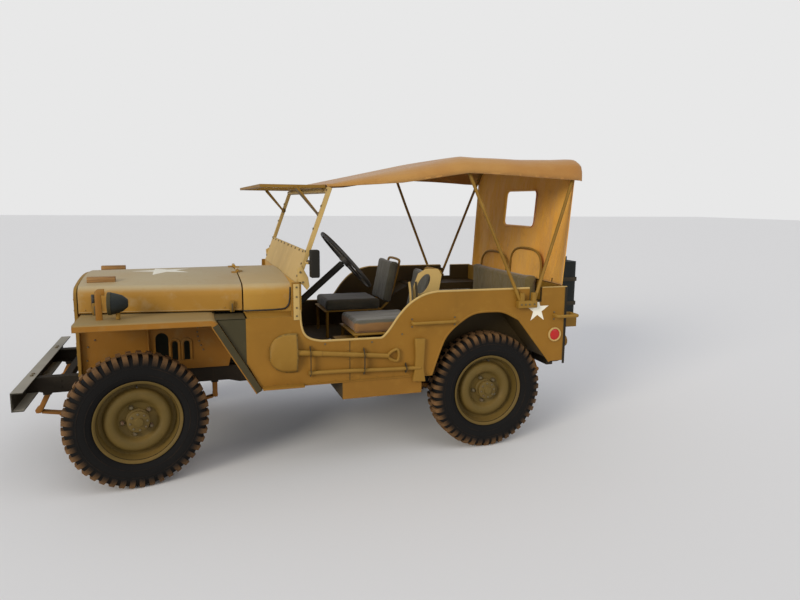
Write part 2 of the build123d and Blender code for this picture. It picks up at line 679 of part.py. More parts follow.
def hood_section(x, half, side_z, drop):
    """Hood outline on one station: sides, round shoulders and a crowned top, drop mm inside the skin."""
    with BuildSketch(Plane.YZ.offset(x)) as section:
        with BuildLine():
            edge = half - drop
            shoulder = hood_shoulder_z - drop
            crown = hood_crown_z - drop
            round_in = edge - hood_corner
            Line((-edge, side_z), (-edge, shoulder - hood_corner))
            RadiusArc((-edge, shoulder - hood_corner), (-round_in, shoulder), hood_corner)
            ThreePointArc((-round_in, shoulder), (0, crown), (round_in, shoulder))
            RadiusArc((round_in, shoulder), (edge, shoulder - hood_corner), hood_corner)
            Line((edge, shoulder - hood_corner), (edge, side_z))
            Line((edge, side_z), (-edge, side_z))
        make_face()
    return section.sketch


# Hood: one crowned sheet with its sides, hinged at the rear
with BuildPart() as hood:
    skin = [hood_section(hood_rear_x, hood_rear_half, hood_side_z, 0),
            hood_section(hood_front_x, hood_front_half, hood_side_z, 0)]
    loft(skin, ruled=True)
    core = [hood_section(hood_rear_x - 1, hood_rear_half, hood_side_z - 5, hood_sheet),
            hood_section(hood_front_x + 1, hood_front_half, hood_side_z - 5, hood_sheet)]
    loft(core, ruled=True, mode=Mode.SUBTRACT)
    for side in (-1, 1):
        eye_y0 = side * (hinge_y + hinge_leaf + 1)
        eye_y1 = side * (hinge_y + 2 * hinge_leaf)
        rod((hinge_x, eye_y0, hinge_z), (hinge_x, eye_y1, hinge_z), hinge_radius)
        slab(hinge_x, hinge_x + 34, eye_y0, eye_y1, hinge_z - 17, hinge_z - 5)
        rod((hinge_x, eye_y0 - side, hinge_z), (hinge_x, eye_y1 + side, hinge_z), hinge_pin_radius + pin_gap,
            mode=Mode.SUBTRACT)
pieces["hood"] = hood

with BuildPart() as hood_blocks:
    for y in (-288.0, 288.0):
        slab(hood_front_x - 193, hood_front_x - 8, y - 20, y + 20, hood_crown_z - 28, hood_crown_z + 14)
    loft(skin, ruled=True, mode=Mode.SUBTRACT)
pieces["hood_blocks"] = hood_blocks

# Cowl: carries the hood's form back to the windshield, with the dash across the body
with BuildPart() as cowl:
    back_x = door_front_x + 20
    skin = [hood_section(back_x, hood_rear_half + 10, shelf_z, 0),
            hood_section(firewall_x, hood_rear_half, shelf_z, 0)]
    loft(skin, ruled=True)
    core = [hood_section(back_x - 1, hood_rear_half + 10, shelf_z - 1, hood_sheet),
            hood_section(firewall_x + 1, hood_rear_half, shelf_z - 1, hood_sheet)]
    loft(core, ruled=True, mode=Mode.SUBTRACT)
    slab(door_front_x - 12, back_x, -tub_inner_y, tub_inner_y, 915, cowl_top_z)
    for side in (-1, 1):
        leaf_y0 = side * hinge_y
        leaf_y1 = side * (hinge_y + hinge_leaf)
        slab(firewall_x - 30, hinge_x, leaf_y0, leaf_y1, hinge_z - 17, hinge_z - 5)
        rod((hinge_x, leaf_y0, hinge_z), (hinge_x, leaf_y1, hinge_z), hinge_radius)
        rod((hinge_x, leaf_y0, hinge_z), (hinge_x, side * (hinge_y + 2 * hinge_leaf), hinge_z), hinge_pin_radius)
    rod(steering_hub, steering_box, column_radius + 8, mode=Mode.SUBTRACT)
pieces["cowl"] = cowl

# Grille: a plate with nine slots (y, low z, high z) and the lamps' openings
slot_half = 17.0
head_y = 305.0
head_z = 885.0
head_radius = 80.0
marker_y = 330.0
marker_z = 715.0
marker_radius = 30.0
slot_rows = ((0, 610, 1010), (58, 610, 1010), (116, 610, 1010), (174, 610, 1010), (232, 610, 740))
with BuildPart() as grille:
    with BuildSketch(Plane.YZ.offset(grille_x)):
        with BuildLine():
            edge = grille_half
            shoulder = hood_shoulder_z - 8
            Line((-edge, grille_bottom_z), (-edge, shoulder - hood_corner))
            RadiusArc((-edge, shoulder - hood_corner), (hood_corner - edge, shoulder), hood_corner)
            ThreePointArc((hood_corner - edge, shoulder), (0, hood_crown_z - 8), (edge - hood_corner, shoulder))
            RadiusArc((edge - hood_corner, shoulder), (edge, shoulder - hood_corner), hood_corner)
            Line((edge, shoulder - hood_corner), (edge, grille_bottom_z))
            Line((edge, grille_bottom_z), (-edge, grille_bottom_z))
        make_face()
        for y, z0, z1 in slot_rows:
            for place in {y, -y}:
                with Locations((place, (z0 + z1) / 2)):
                    SlotOverall(z1 - z0, 2 * slot_half, rotation=90, mode=Mode.SUBTRACT)
        for y, z, radius in ((head_y, head_z, head_radius), (marker_y, marker_z, marker_radius)):
            with Locations((y, z), (-y, z)):
                Circle(radius + fit_gap, mode=Mode.SUBTRACT)
    extrude(amount=grille_wall)
pieces["grille"] = grille

# Lamps: headlights, marker lamps, the driving lamp on the left fender, rear lamps and reflectors
drive_lamp = Vector(front_axle_x + 51.0, fender_outer_y - 125.0, fender_top_z + 84.0)
drive_lamp_radius = 58.0
with BuildPart() as lamps:
    for y in (-head_y, head_y):
        rod((grille_x - 60, y, head_z), (grille_x + 14, y, head_z), head_radius)
    for y in (-marker_y, marker_y):
        rod((grille_x - 40, y, marker_z), (grille_x + 20, y, marker_z), marker_radius)
    lamp_plane = Plane(origin=drive_lamp, x_dir=(1, 0, 0), z_dir=(0, -1, 0))
    turned(lamp_plane, [(-45, 0), (-38, 30), (-15, 50), (20, drive_lamp_radius), (44, drive_lamp_radius), (44, 0)])
    slab(drive_lamp.X - 12, drive_lamp.X + 12, drive_lamp.Y - 12, drive_lamp.Y + 12, fender_top_z, drive_lamp.Z - 44)
    for side in (-1, 1):
        rear_lamp_y = side * (tub_half_width - 80.0)
        reflector_y = side * (tub_half_width - 170.0)
        reflector_x = tub_rear_x + 81.0
        rod((tub_rear_x, rear_lamp_y, 640), (tub_rear_x - 45, rear_lamp_y, 640), 38)
        rod((tub_rear_x, reflector_y, 600), (tub_rear_x - 12, reflector_y, 600), 40)
        rod((reflector_x, side * tub_half_width, 703), (reflector_x, side * (tub_half_width + 10), 703), 44)
pieces["lamps"] = lamps

# Fenders: a bent top sheet, an outer lip and the inner apron with its vents
apron_holes = (
    # front and rear x from the front axle, low z, high z
    (-109.0, -177.0, 610.0, 772.0),
    (-196.0, -226.0, 612.0, 722.0),
    (-260.0, -290.0, 612.0, 722.0),
)
guard_x = front_axle_x + 145.0
guard_top = 1051.0
for name, side in (("fender_left", 1), ("fender_right", -1)):
    with BuildPart() as fender:
        side_plate([(fender_front_x, fender_top_z), (fender_bend_x, fender_top_z),
                    (fender_foot_x, 500), (fender_foot_x + 8, 500), (fender_bend_x + 5, fender_top_z - sheet),
                    (fender_front_x, fender_top_z - sheet)], apron_inner_y, fender_outer_y)
        side_plate([(fender_front_x, fender_top_z), (fender_bend_x, fender_top_z),
                    (fender_foot_x, 500), (fender_bend_x - 100, 500), (fender_bend_x + 35, 790),
                    (fender_bend_x + 100, lip_z), (fender_front_x, lip_z)],
                   fender_outer_y - sheet, fender_outer_y)
        side_plate([(grille_x, fender_top_z - 1), (fender_bend_x, fender_top_z - 1), (fender_bend_x - 116, 690),
                    (fender_bend_x - 80, grille_bottom_z), (grille_x, grille_bottom_z)],
                   apron_inner_y, apron_inner_y + sheet)
        for hole_front, hole_rear, hole_low, hole_high in apron_holes:
            corner = (hole_front - hole_rear) / 2
            side_plate([(front_axle_x + hole_front, hole_low), (front_axle_x + hole_front, hole_high - corner),
                        (front_axle_x + hole_front - corner / 2, hole_high), (front_axle_x + hole_rear, hole_high),
                        (front_axle_x + hole_rear, hole_low)], apron_inner_y - 1, apron_inner_y + sheet + 1,
                       mode=Mode.SUBTRACT)
        slab(fender_front_x - 1, grille_x, apron_inner_y, grille_half, 600, fender_top_z - sheet)
        if side > 0:
            guard_y0 = fender_outer_y - 149
            guard_y1 = fender_outer_y - 101
            slab(guard_x - 10, guard_x, guard_y0, guard_y1, fender_top_z - 4, guard_top)
            slab(guard_x - 76, guard_x, guard_y0, guard_y1, guard_top - 6, guard_top)
        if side < 0:
            mirror(about=Plane.XZ, mode=Mode.REPLACE)
    pieces[name] = fender

# Windshield: posts, rails and the lower panel in its own leaning plane
shield_plane = Plane(
    origin=(shield_base_x, 0, cowl_top_z),
    x_dir=(0, 1, 0),
    z_dir=(cos(radians(shield_tilt)), 0, sin(radians(shield_tilt))),
)
with BuildPart() as windshield_frame:
    with BuildSketch(shield_plane):
        with Locations((0, shield_height / 2 - 10)):
            Rectangle(2 * shield_half_width, shield_height + 20)
        with Locations((0, (shield_panel_height + shield_height - post_width) / 2)):
            Rectangle(2 * (shield_half_width - post_width), shield_height - post_width - shield_panel_height,
                      mode=Mode.SUBTRACT)
    extrude(amount=shield_half_wall, both=True)
    with BuildSketch(shield_plane.offset(-shield_half_wall)):
        with Locations((0, shield_panel_height / 2)):
            Rectangle(2 * (shield_half_width - post_width), shield_panel_height - 24)
    extrude(amount=2 * shield_half_wall - sheet, mode=Mode.SUBTRACT)
    slab(shield_base_x - 61, shield_base_x + 59, -shield_half_width - 1, shield_half_width + 1, cowl_top_z - 60,
         cowl_top_z, mode=Mode.SUBTRACT)
    mirror_x = shield_base_x - 81.0
    mirror_z = cowl_top_z + 104.0
    mirror_y = overall_half_width - 26.0
    rod((mirror_x + 35, shield_half_width - 5, mirror_z), (mirror_x, mirror_y, mirror_z), 8)
    slab(mirror_x - 20, mirror_x + 20, mirror_y - 26, overall_half_width, mirror_z - 63, mirror_z + 63)
pieces["windshield_frame"] = windshield_frame

pane_half = glass_half_width - glass_bar
with BuildPart() as glass_frame:
    low = glass_z - glass_bar_half_wall
    high = glass_z + glass_bar_half_wall
    slab(glass_rear_x, glass_front_x, -glass_half_width, glass_half_width, low, high)
    for side in (-1, 1):
        slab(glass_rear_x + glass_bar, glass_front_x - glass_bar, side * 15, side * pane_half, low, high,
             mode=Mode.SUBTRACT)
        for y in (120, glass_half_width - 100):
            slab(glass_rear_x - 3, glass_rear_x + 5, side * y - 30, side * y + 30, low - 4, low + 4)
        arm_y0 = glass_half_width - 1
        arm_y1 = glass_half_width + sheet
        arm_x = shield_base_x - 130.0
        arm_z0 = glass_z - 160.0
        side_plate([(arm_x - 7, arm_z0), (arm_x + 9, arm_z0), (arm_x + 139, glass_z - 6), (arm_x + 119, glass_z)],
                   min(side * arm_y0, side * arm_y1), max(side * arm_y0, side * arm_y1))
        rod((arm_x, side * (arm_y1 - 2), arm_z0 + 8), (arm_x, side * (shield_half_width - post_width), arm_z0 + 8), 6)
pieces["glass_frame"] = glass_frame

with BuildPart() as windshield_glass:
    for side in (-1, 1):
        slab(glass_rear_x + glass_bar, glass_front_x - glass_bar, side * 15, side * pane_half, glass_z - 2,
             glass_z + 2)
pieces["windshield_glass"] = windshield_glass

# Driver's controls: column with its box and the levers, and the wheel that turns on it
column_line = (steering_box - steering_hub).normalized()
with BuildPart() as driver_controls:
    rod(steering_hub + column_line * 30, steering_box, column_radius)
    rod(steering_hub, steering_hub + column_line * 40, shaft_end_radius)
    slab(firewall_x + 7, firewall_x + 102, steering_box.Y - 53, steering_box.Y + 7, rail_front_top,
         rail_front_top + 82)
    lever_x = gearbox_rear_x
    for foot, head in (
        ((lever_x + 100, 0, tunnel_top), (lever_x + 40, 20, 900)),
        ((lever_x + 65, -60, tunnel_top), (lever_x + 20, -60, 800)),
        ((lever_x + 30, -85, tunnel_top), (lever_x - 10, -95, 770)),
    ):
        rod(foot, Vector(*foot) + Vector(0, 0, 12), 16)
        rod(Vector(*foot) + Vector(0, 0, 5), head, 7)
        with Locations(Vector(*head)):
            Sphere(18)
pieces["driver_controls"] = driver_controls

wheel_plane = Plane(origin=steering_hub, z_dir=-column_line)
with BuildPart() as steering_wheel:
    with BuildSketch(Plane(origin=steering_hub, x_dir=wheel_plane.x_dir, z_dir=wheel_plane.y_dir)) as section:
        with Locations((steering_radius, 0)):
            Circle(steering_rim)
    revolve(section.sketch, axis=Axis(steering_hub, column_line))
    rod(steering_hub + column_line * 25, steering_hub - column_line * 12, 34)
    rod(steering_hub - column_line * 2, steering_hub + column_line * 26, shaft_end_radius + fit_gap,
        mode=Mode.SUBTRACT)
    for turn in (90, 210, 330):
        reach = wheel_plane.x_dir.rotate(Axis((0, 0, 0), column_line), turn)
        rod(steering_hub + reach * 20, steering_hub + reach * steering_radius, 6)
pieces["steering_wheel"] = steering_wheel

# Seats: frames of tube and pans, cushions on them
back_foot_x = seat_rear_x - 4.0
back_head_x = seat_rear_x - 69.0
back_top_z = 1098.0
back_foot_z = 780.0
back_wall = 62.0
bar_wall = 12.0
rear_back_x = frame_rear_x + 16.0
rear_back_wall = 80.0
rear_back_top = 1045.0
rear_seat_front_x = rear_back_x + 475.0
rear_seat_half = wheel_house_inner_y - 40.0
wing_rows = (
    # x from the seat's rear edge, z
    (2.0, seat_base_z - pan_wall), (60.0, seat_base_z - pan_wall), (60.0, 900.0), (60.0, 1000.0), (30.0, 1080.0),
    (-40.0, 1125.0), (-100.0, 1120.0), (-120.0, 1080.0), (-100.0, 960.0), (-60.0, 800.0),
)
with BuildPart() as seat_frames:
    for side in (-1, 1):
        y0 = min(side * seat_inner_y, side * seat_outer_y)
        y1 = max(side * seat_inner_y, side * seat_outer_y)
        slab(seat_rear_x, seat_front_x, y0 + 5, y1 - 5, seat_base_z - pan_wall, seat_base_z)
        for x in (seat_rear_x + 20, seat_front_x - 20):
            for y in (seat_inner_y + 20, seat_outer_y - 20):
                on_tank = side > 0 and y > well_inner_y and x > well_rear_x
                foot_z = 700 if on_tank else floor_top
                rod((x, side * y, foot_z), (x, side * y, seat_base_z - pan_wall + 1), 12)
        wing = [(seat_rear_x + x, z) for x, z in wing_rows]
        wing_y0 = seat_outer_y - 5 if side > 0 else -seat_outer_y - 3
        side_plate(wing, wing_y0, wing_y0 + 8)
        with BuildSketch(Plane.XZ.offset(-wing_y0 - 9)) as hole:
            with Locations((seat_rear_x - 5, 1030)):
                SlotOverall(130, 66, rotation=-60)
        extrude(hole.sketch, amount=10, mode=Mode.SUBTRACT)
        back_line = [(seat_rear_x + 1, seat_base_z - pan_wall), (seat_rear_x + 1, seat_base_z),
                     (back_foot_x - back_wall - fit_gap, back_foot_z - fit_gap),
                     (back_head_x - back_wall - fit_gap, back_top_z - 8),
                     (back_head_x - back_wall - bar_wall, back_top_z - 8),
                     (back_foot_x - back_wall - bar_wall, back_foot_z - 4)]
        for y in (seat_inner_y + 55, seat_outer_y - 80):
            side_plate(back_line, side * y - 12, side * y + 12)
    slab(rear_back_x - 3, rear_seat_front_x, -rear_seat_half, rear_seat_half, 742, 750)
    for x in (rear_back_x + 15, rear_seat_front_x - 20):
        for y in (-rear_seat_half + 20, rear_seat_half - 20):
            rod((x, y, floor_top), (x, y, 743), 12)
pieces["seat_frames"] = seat_frames

with BuildPart() as seat_cushions:
    for side in (-1, 1):
        y0 = min(side * seat_inner_y, side * (seat_outer_y - 10))
        y1 = max(side * seat_inner_y, side * (seat_outer_y - 10))
        slab(seat_rear_x + 5, seat_front_x, y0, y1, seat_base_z, seat_top_z)
        side_plate([(back_foot_x, back_foot_z), (back_head_x, back_top_z), (back_head_x - back_wall, back_top_z - 8),
                    (back_foot_x - back_wall, back_foot_z)], min(side * seat_inner_y, side * (seat_outer_y - 25)),
                   max(side * seat_inner_y, side * (seat_outer_y - 25)))
    slab(rear_back_x + rear_back_wall + 5, rear_seat_front_x, -rear_seat_half, rear_seat_half, 750, 845)
    slab(rear_back_x, rear_back_x + rear_back_wall, -rear_seat_half, rear_seat_half, 750, rear_back_top)
pieces["seat_cushions"] = seat_cushions

# Bows of the canvas top, each from foot to head and across
bow_rows = (
    # foot x, knee x, head x
    (rear_axle_x - 174.0, front_bow_x - 10, front_bow_x),
    (rear_axle_x - 214.0, rear_bow_x + 10, rear_bow_x),
)
with BuildPart() as top_bows:
    for foot_x, knee_x, head_x in bow_rows:
        half_route = [(foot_x, bow_foot_y, bow_foot_z), (foot_x, bow_foot_y, bow_foot_z + 50),
                      (knee_x, bow_head_y + 74, bow_head_z - 72), (head_x, bow_head_y, bow_head_z)]
        other_half = [(x, -y, z) for x, y, z in half_route[::-1]]
        pipe(half_route + other_half, bow_radius, 30)
pieces["top_bows"] = top_bows

# Canvas top: roof sheet with hanging flaps, and the rear curtain with its window
roof_z = bow_head_z + bow_radius + fit_gap + canvas_wall
roof_rows = (
    # x, half width, flap low z, edge z, shoulder half width, shoulder z, crown z
    (glass_rear_x - 4, tub_half_width - 40, glass_z - 0.5, glass_z + 7, bow_head_y + 30, glass_z + 10, glass_z + 12),
    (front_bow_x + 405, tub_half_width - 25, 1616.0, 1662.0, bow_head_y + 30, 1690.0, 1700.0),
    (front_bow_x + bow_radius, tub_half_width - 18, 1680.0, 1740.0, bow_head_y + 20, roof_z, roof_z + 5),
    (rear_bow_x, tub_half_width - 18, 1655.0, 1740.0, bow_head_y + 20, roof_z, roof_z + 8),
    (canvas_rear_x, tub_half_width - 25, 1652.0, 1735.0, bow_head_y + 10, roof_z - 4, roof_z + 5),
)
with BuildPart() as canvas_top:
    sections = []
    for x, half, low, edge_z, inset, shoulder, crown in roof_rows:
        skin = canvas_wall if low > 1600 else 6.0
        with BuildSketch(Plane.YZ.offset(x)) as section:
            with BuildLine():
                Polyline((half, low), (half, edge_z), (inset, shoulder), (0, crown), (-inset, shoulder),
                         (-half, edge_z), (-half, low), (skin - half, low), (skin - half, edge_z - skin / 2),
                         (-inset, shoulder - skin), (0, crown - skin), (inset, shoulder - skin),
                         (half - skin, edge_z - skin / 2), (half - skin, low), close=True)
            make_face()
        sections.append(section.sketch)
    for front, back in zip(sections, sections[1:]):
        loft([front, back], ruled=True)
    side_plate([(canvas_rear_x, 1660), (canvas_rear_x + canvas_wall, 1660), (canvas_rear_x + canvas_wall, 1765),
                (canvas_rear_x, 1765)], 30 - tub_half_width, tub_half_width - 30)
    curtain_low_half = tub_half_width - 40
    curtain_high_half = tub_half_width - 60
    curtain_plane = Plane(origin=(tub_rear_x - 5, 0, side_top_z + 2), x_dir=(0, 1, 0), z_dir=(0.9968, 0, 0.0805))
    with BuildSketch(curtain_plane) as curtain:
        with BuildLine():
            Polyline((-curtain_low_half, 0), (curtain_low_half, 0), (curtain_high_half, 768),
                     (-curtain_high_half, 768), close=True)
        make_face()
        with Locations((0, 474)):
            RectangleRounded(436, 254, 40, mode=Mode.SUBTRACT)
    extrude(curtain.sketch, amount=-6)
pieces["canvas_top"] = canvas_top

# Hand holds along the body, two on each side
handle_radius = 10.0
handle_z = 822.0
handle_y = overall_half_width - handle_radius
with BuildPart() as body_handles:
    for side in (-1, 1):
        skin_y = side * tub_half_width
        grip_y = side * (tub_half_width + 27)
        grip_front_x = rear_axle_x + 522
        grip_rear_x = rear_axle_x + 255
        pipe([(grip_front_x, skin_y, handle_z), (grip_front_x, grip_y, handle_z),
              (grip_rear_x, grip_y, handle_z), (grip_rear_x, skin_y, handle_z)], 9, 12)
        wrap_x = tub_rear_x - 56
        wrap_y = side * (tub_half_width - 50)
        pipe([(tub_rear_x + 89, skin_y, handle_z), (tub_rear_x + 89, side * handle_y, handle_z),
              (wrap_x, side * handle_y, handle_z), (wrap_x, wrap_y, handle_z),
              (tub_rear_x, wrap_y, handle_z)], handle_radius, 16)
pieces["body_handles"] = body_handles

# Shovel and axe on the left side
shaft_y = tub_half_width + 15.0
blade_x = door_front_x + 17.0
grip_x = blade_x - 511.0
axe_x = blade_x - 665.0
blade_rows = ((0.0, 795.0), (87.0, 803.0), (137.0, 770.0), (151.0, 700.0), (137.0, 640.0), (87.0, 590.0), (0.0, 585.0))
grip_rows = ((0.0, 652.0), (0.0, 632.0), (-62.0, 590.0), (-87.0, 600.0), (-87.0, 690.0), (-62.0, 700.0))
grip_hole_rows = ((-12.0, 645.0), (-62.0, 612.0), (-70.0, 618.0), (-70.0, 672.0), (-62.0, 678.0))
axe_head_rows = ((0.0, 490.0), (-78.0, 480.0), (-63.0, 560.0), (-70.0, 715.0), (-8.0, 720.0), (-13.0, 560.0))
spade_shaft_z = (700.0, 640.0)  # at the blade, at the grip
axe_shaft_z = (575.0, 557.0)  # at its end, at the head
with BuildPart() as pioneer_tools:
    side_plate([(blade_x + x, z) for x, z in blade_rows], tub_half_width, tub_half_width + 8)
    rod((blade_x + 27, shaft_y, spade_shaft_z[0]), (grip_x - 3, shaft_y, spade_shaft_z[1]), 14)
    side_plate([(grip_x + x, z) for x, z in grip_rows], tub_half_width + 5, tub_half_width + 27)
    side_plate([(grip_x + x, z) for x, z in grip_hole_rows], tub_half_width, tub_half_width + 30, mode=Mode.SUBTRACT)
    rod((blade_x - 58, shaft_y, axe_shaft_z[0]), (axe_x - 48, shaft_y, axe_shaft_z[1]), 14)
    side_plate([(axe_x + x, z) for x, z in axe_head_rows], tub_half_width, tub_half_width + 28)
pieces["pioneer_tools"] = pioneer_tools

os.makedirs("parts", exist_ok=True)
for name, piece in pieces.items():
    piece.part.label = name
    export_step(piece.part, f"parts/{name}.step")
print(len(pieces), "pieces")
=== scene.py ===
"""Dresses the army 4x4 car: paint, canvas, rubber, glass and the small pieces over its solid frame."""

import json
import logging
import math
import random
from dataclasses import dataclass, field
from enum import Enum
from typing import Any, Callable, Sequence

import bmesh
import bpy
from mathutils import Matrix, Vector

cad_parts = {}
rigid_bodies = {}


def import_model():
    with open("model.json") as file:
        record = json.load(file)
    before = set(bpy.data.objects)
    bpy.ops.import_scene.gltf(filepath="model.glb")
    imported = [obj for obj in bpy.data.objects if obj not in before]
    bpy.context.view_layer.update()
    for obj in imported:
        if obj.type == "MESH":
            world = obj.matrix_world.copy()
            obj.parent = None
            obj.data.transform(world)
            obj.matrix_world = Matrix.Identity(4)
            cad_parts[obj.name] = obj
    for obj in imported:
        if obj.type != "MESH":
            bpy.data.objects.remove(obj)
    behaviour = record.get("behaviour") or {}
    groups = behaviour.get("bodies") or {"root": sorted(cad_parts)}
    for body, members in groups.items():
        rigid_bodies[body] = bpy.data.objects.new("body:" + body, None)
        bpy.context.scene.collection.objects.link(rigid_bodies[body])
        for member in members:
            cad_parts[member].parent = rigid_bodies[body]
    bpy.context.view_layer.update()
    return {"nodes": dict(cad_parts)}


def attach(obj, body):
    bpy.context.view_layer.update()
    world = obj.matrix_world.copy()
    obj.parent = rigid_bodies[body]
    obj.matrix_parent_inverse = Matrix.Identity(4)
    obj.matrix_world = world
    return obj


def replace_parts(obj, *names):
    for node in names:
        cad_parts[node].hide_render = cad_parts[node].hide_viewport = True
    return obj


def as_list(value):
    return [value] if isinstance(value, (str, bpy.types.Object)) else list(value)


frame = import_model()

LOG = logging.getLogger("army_car")
Colour = tuple[float, float, float, float]
Point = tuple[float, float, float]
Flat = Sequence[tuple[float, float]]
Piece = bpy.types.Object
SIDES = ((1, "left"), (-1, "right"))


def srgb(red: float, green: float, blue: float) -> Colour:
    """Turns a colour on the 0 to 255 scale into the linear one that shaders use.

    Args:
        red: Red part.
        green: Green part.
        blue: Blue part.

    Returns:
        The linear colour with full alpha.
    """
    parts = [((c / 255 + 0.055) / 1.055) ** 2.4 if c > 10 else c / 255 / 12.92 for c in (red, green, blue)]
    return (parts[0], parts[1], parts[2], 1.0)


class Val:
    """One socket in a shader tree; operators on it add Math nodes."""

    def __init__(self, shade: "Shade", socket: Any) -> None:
        """Keeps the tree and the socket."""
        self.shade = shade
        self.socket = socket

    def math(self, operation: str, *others: Any) -> "Val":
        """Adds one Math node.

        Args:
            operation: Its operation.
            others: Its other inputs, numbers or values.

        Returns:
            The node's result.
        """
        return self.shade.node("ShaderNodeMath", {"operation": operation}, 0, self, *others)

    def __add__(self, other: Any) -> "Val":
        """Sum."""
        return self.math("ADD", other)

    __radd__ = __add__

    def __sub__(self, other: Any) -> "Val":
        """Difference."""
        return self.math("SUBTRACT", other)

    def __rsub__(self, other: Any) -> "Val":
        """Difference with the value second."""
        return self.shade.node("ShaderNodeMath", {"operation": "SUBTRACT"}, 0, other, self)

    def __mul__(self, other: Any) -> "Val":
        """Product."""
        return self.math("MULTIPLY", other)

    __rmul__ = __mul__

    def __pow__(self, other: Any) -> "Val":
        """Power."""
        return self.math("POWER", other)

    def __abs__(self) -> "Val":
        """Size without sign."""
        return self.math("ABSOLUTE")

    def step(self, low: float, high: float, to_low: float = 0.0, to_high: float = 1.0) -> "Val":
        """Smooth step.

        Args:
            low: Input at which the step starts.
            high: Input at which it ends.
            to_low: Result before the step.
            to_high: Result after it.

        Returns:
            The stepped value.
        """
        settings = {"interpolation_type": "SMOOTHSTEP"}
        return self.shade.node("ShaderNodeMapRange", settings, 0, self, low, high, to_low, to_high)

    def least(self, other: Any) -> "Val":
        """The smaller of two values."""
        return self.math("MINIMUM", other)


class Shade:
    """A material under construction, around one Principled shader."""

    def __init__(self, name: str) -> None:
        """Makes the material and its shader.

        Args:
            name: The material's name.
        """
        self.material = bpy.data.materials.new(name)
        self.material.use_nodes = True
        self.tree = self.material.node_tree
        self.bsdf = self.tree.nodes["Principled BSDF"]

    def node(self, kind: str, settings: dict[str, Any], out: int | str, *inputs: Any) -> Val:
        """Adds one node.

        Args:
            kind: The node's type.
            settings: Its own settings, set before its inputs.
            out: Which output to return.
            inputs: Values, numbers or colours for its inputs in order; None leaves one alone.

        Returns:
            The chosen output.
        """
        made = self.tree.nodes.new(kind)
        for key, value in settings.items():
            if key == "stops":
                ramp = made.color_ramp
                for number, (place, colour) in enumerate(value):
                    stop = ramp.elements[number] if number < 2 else ramp.elements.new(place)
                    stop.position = place
                    stop.color = colour
            else:
                setattr(made, key, value)
        open_sockets = [s for s in made.inputs if s.enabled]
        for socket, value in zip(open_sockets, inputs):
            self.feed(socket, value)
        outputs = [s for s in made.outputs if s.enabled]
        return Val(self, made.outputs[out] if isinstance(out, str) else outputs[out])

    def feed(self, socket: Any, value: Any) -> None:
        """Links or sets one input.

        Args:
            socket: The input.
            value: A value, number or colour; None leaves it alone.
        """
        if isinstance(value, Val):
            self.tree.links.new(value.socket, socket)
        elif value is not None:
            socket.default_value = value

    def place(self) -> Val:
        """Object coordinates, in metres in the car's frame."""
        return self.node("ShaderNodeTexCoord", {}, "Object")

    def axes(self, vector: Val) -> tuple[Val, Val, Val]:
        """Splits a vector into its three parts.

        Args:
            vector: The vector.

        Returns:
            Its X, Y and Z.
        """
        made = self.node("ShaderNodeSeparateXYZ", {}, "X", vector)
        outputs = made.socket.node.outputs
        return (made, Val(self, outputs["Y"]), Val(self, outputs["Z"]))

    def noise(self, vector: Val, scale: float, detail: float = 3.0, rough: float = 0.55) -> Val:
        """Fractal noise about one half.

        Args:
            vector: Where it is read.
            scale: Its fineness, in cells a metre.
            detail: Its number of octaves.
            rough: How strong the finer octaves are.

        Returns:
            The noise value.
        """
        settings = {"noise_dimensions": "3D"}
        return self.node("ShaderNodeTexNoise", settings, "Fac", vector, scale, detail, rough)

    def stretch(self, vector: Val, scale: Point, turn: Point = (0.0, 0.0, 0.0)) -> Val:
        """Coordinates scaled and turned by a Mapping node."""
        return self.node("ShaderNodeMapping", {}, 0, vector, (0.0, 0.0, 0.0), turn, scale)

    def mix(self, amount: Any, first: Any, second: Any) -> Val:
        """Mixes two colours.

        Args:
            amount: Share of the second.
            first: A colour.
            second: A colour.

        Returns:
            The mixed colour.
        """
        made = self.tree.nodes.new("ShaderNodeMix")
        made.data_type = "RGBA"
        self.feed(made.inputs[0], amount)
        self.feed(made.inputs[6], first)
        self.feed(made.inputs[7], second)
        return Val(self, made.outputs[2])

    def upward(self) -> Val:
        """How far the surface faces the sky, from -1 to 1."""
        normal = self.node("ShaderNodeNewGeometry", {}, "Normal")
        return self.axes(normal)[2]

    def edge(self, radius: float) -> tuple[Val, Val]:
        """Softened normal near sharp edges, and a mask of those edges.

        Args:
            radius: Width of the soft edge in metres.

        Returns:
            The normal and the mask.
        """
        soft = self.node("ShaderNodeBevel", {"samples": 4}, 0, radius)
        true = self.node("ShaderNodeNewGeometry", {}, "True Normal")
        same = self.node("ShaderNodeVectorMath", {"operation": "DOT_PRODUCT"}, "Value", soft, true)
        return soft, (1.0 - same).step(0.004, 0.16)

    def bump(self, height: Val, strength: float, distance: float, normal: Val | None = None) -> Val:
        """Turns a height into a normal.

        Args:
            height: The height value.
            strength: How much of it counts.
            distance: Its depth in metres.
            normal: The normal that it disturbs.

        Returns:
            The new normal.
        """
        made = self.tree.nodes.new("ShaderNodeBump")
        made.inputs["Strength"].default_value = strength
        made.inputs["Distance"].default_value = distance
        self.feed(made.inputs["Height"], height)
        self.feed(made.inputs["Normal"], normal)
        return Val(self, made.outputs[0])

    def finish(self, **sockets: Any) -> bpy.types.Material:
        """Feeds the Principled shader.

        Args:
            sockets: Its inputs by name, with _ for a space.

        Returns:
            The finished material.
        """
        for name, value in sockets.items():
            self.feed(self.bsdf.inputs[name.replace("_", " ")], value)
        return self.material


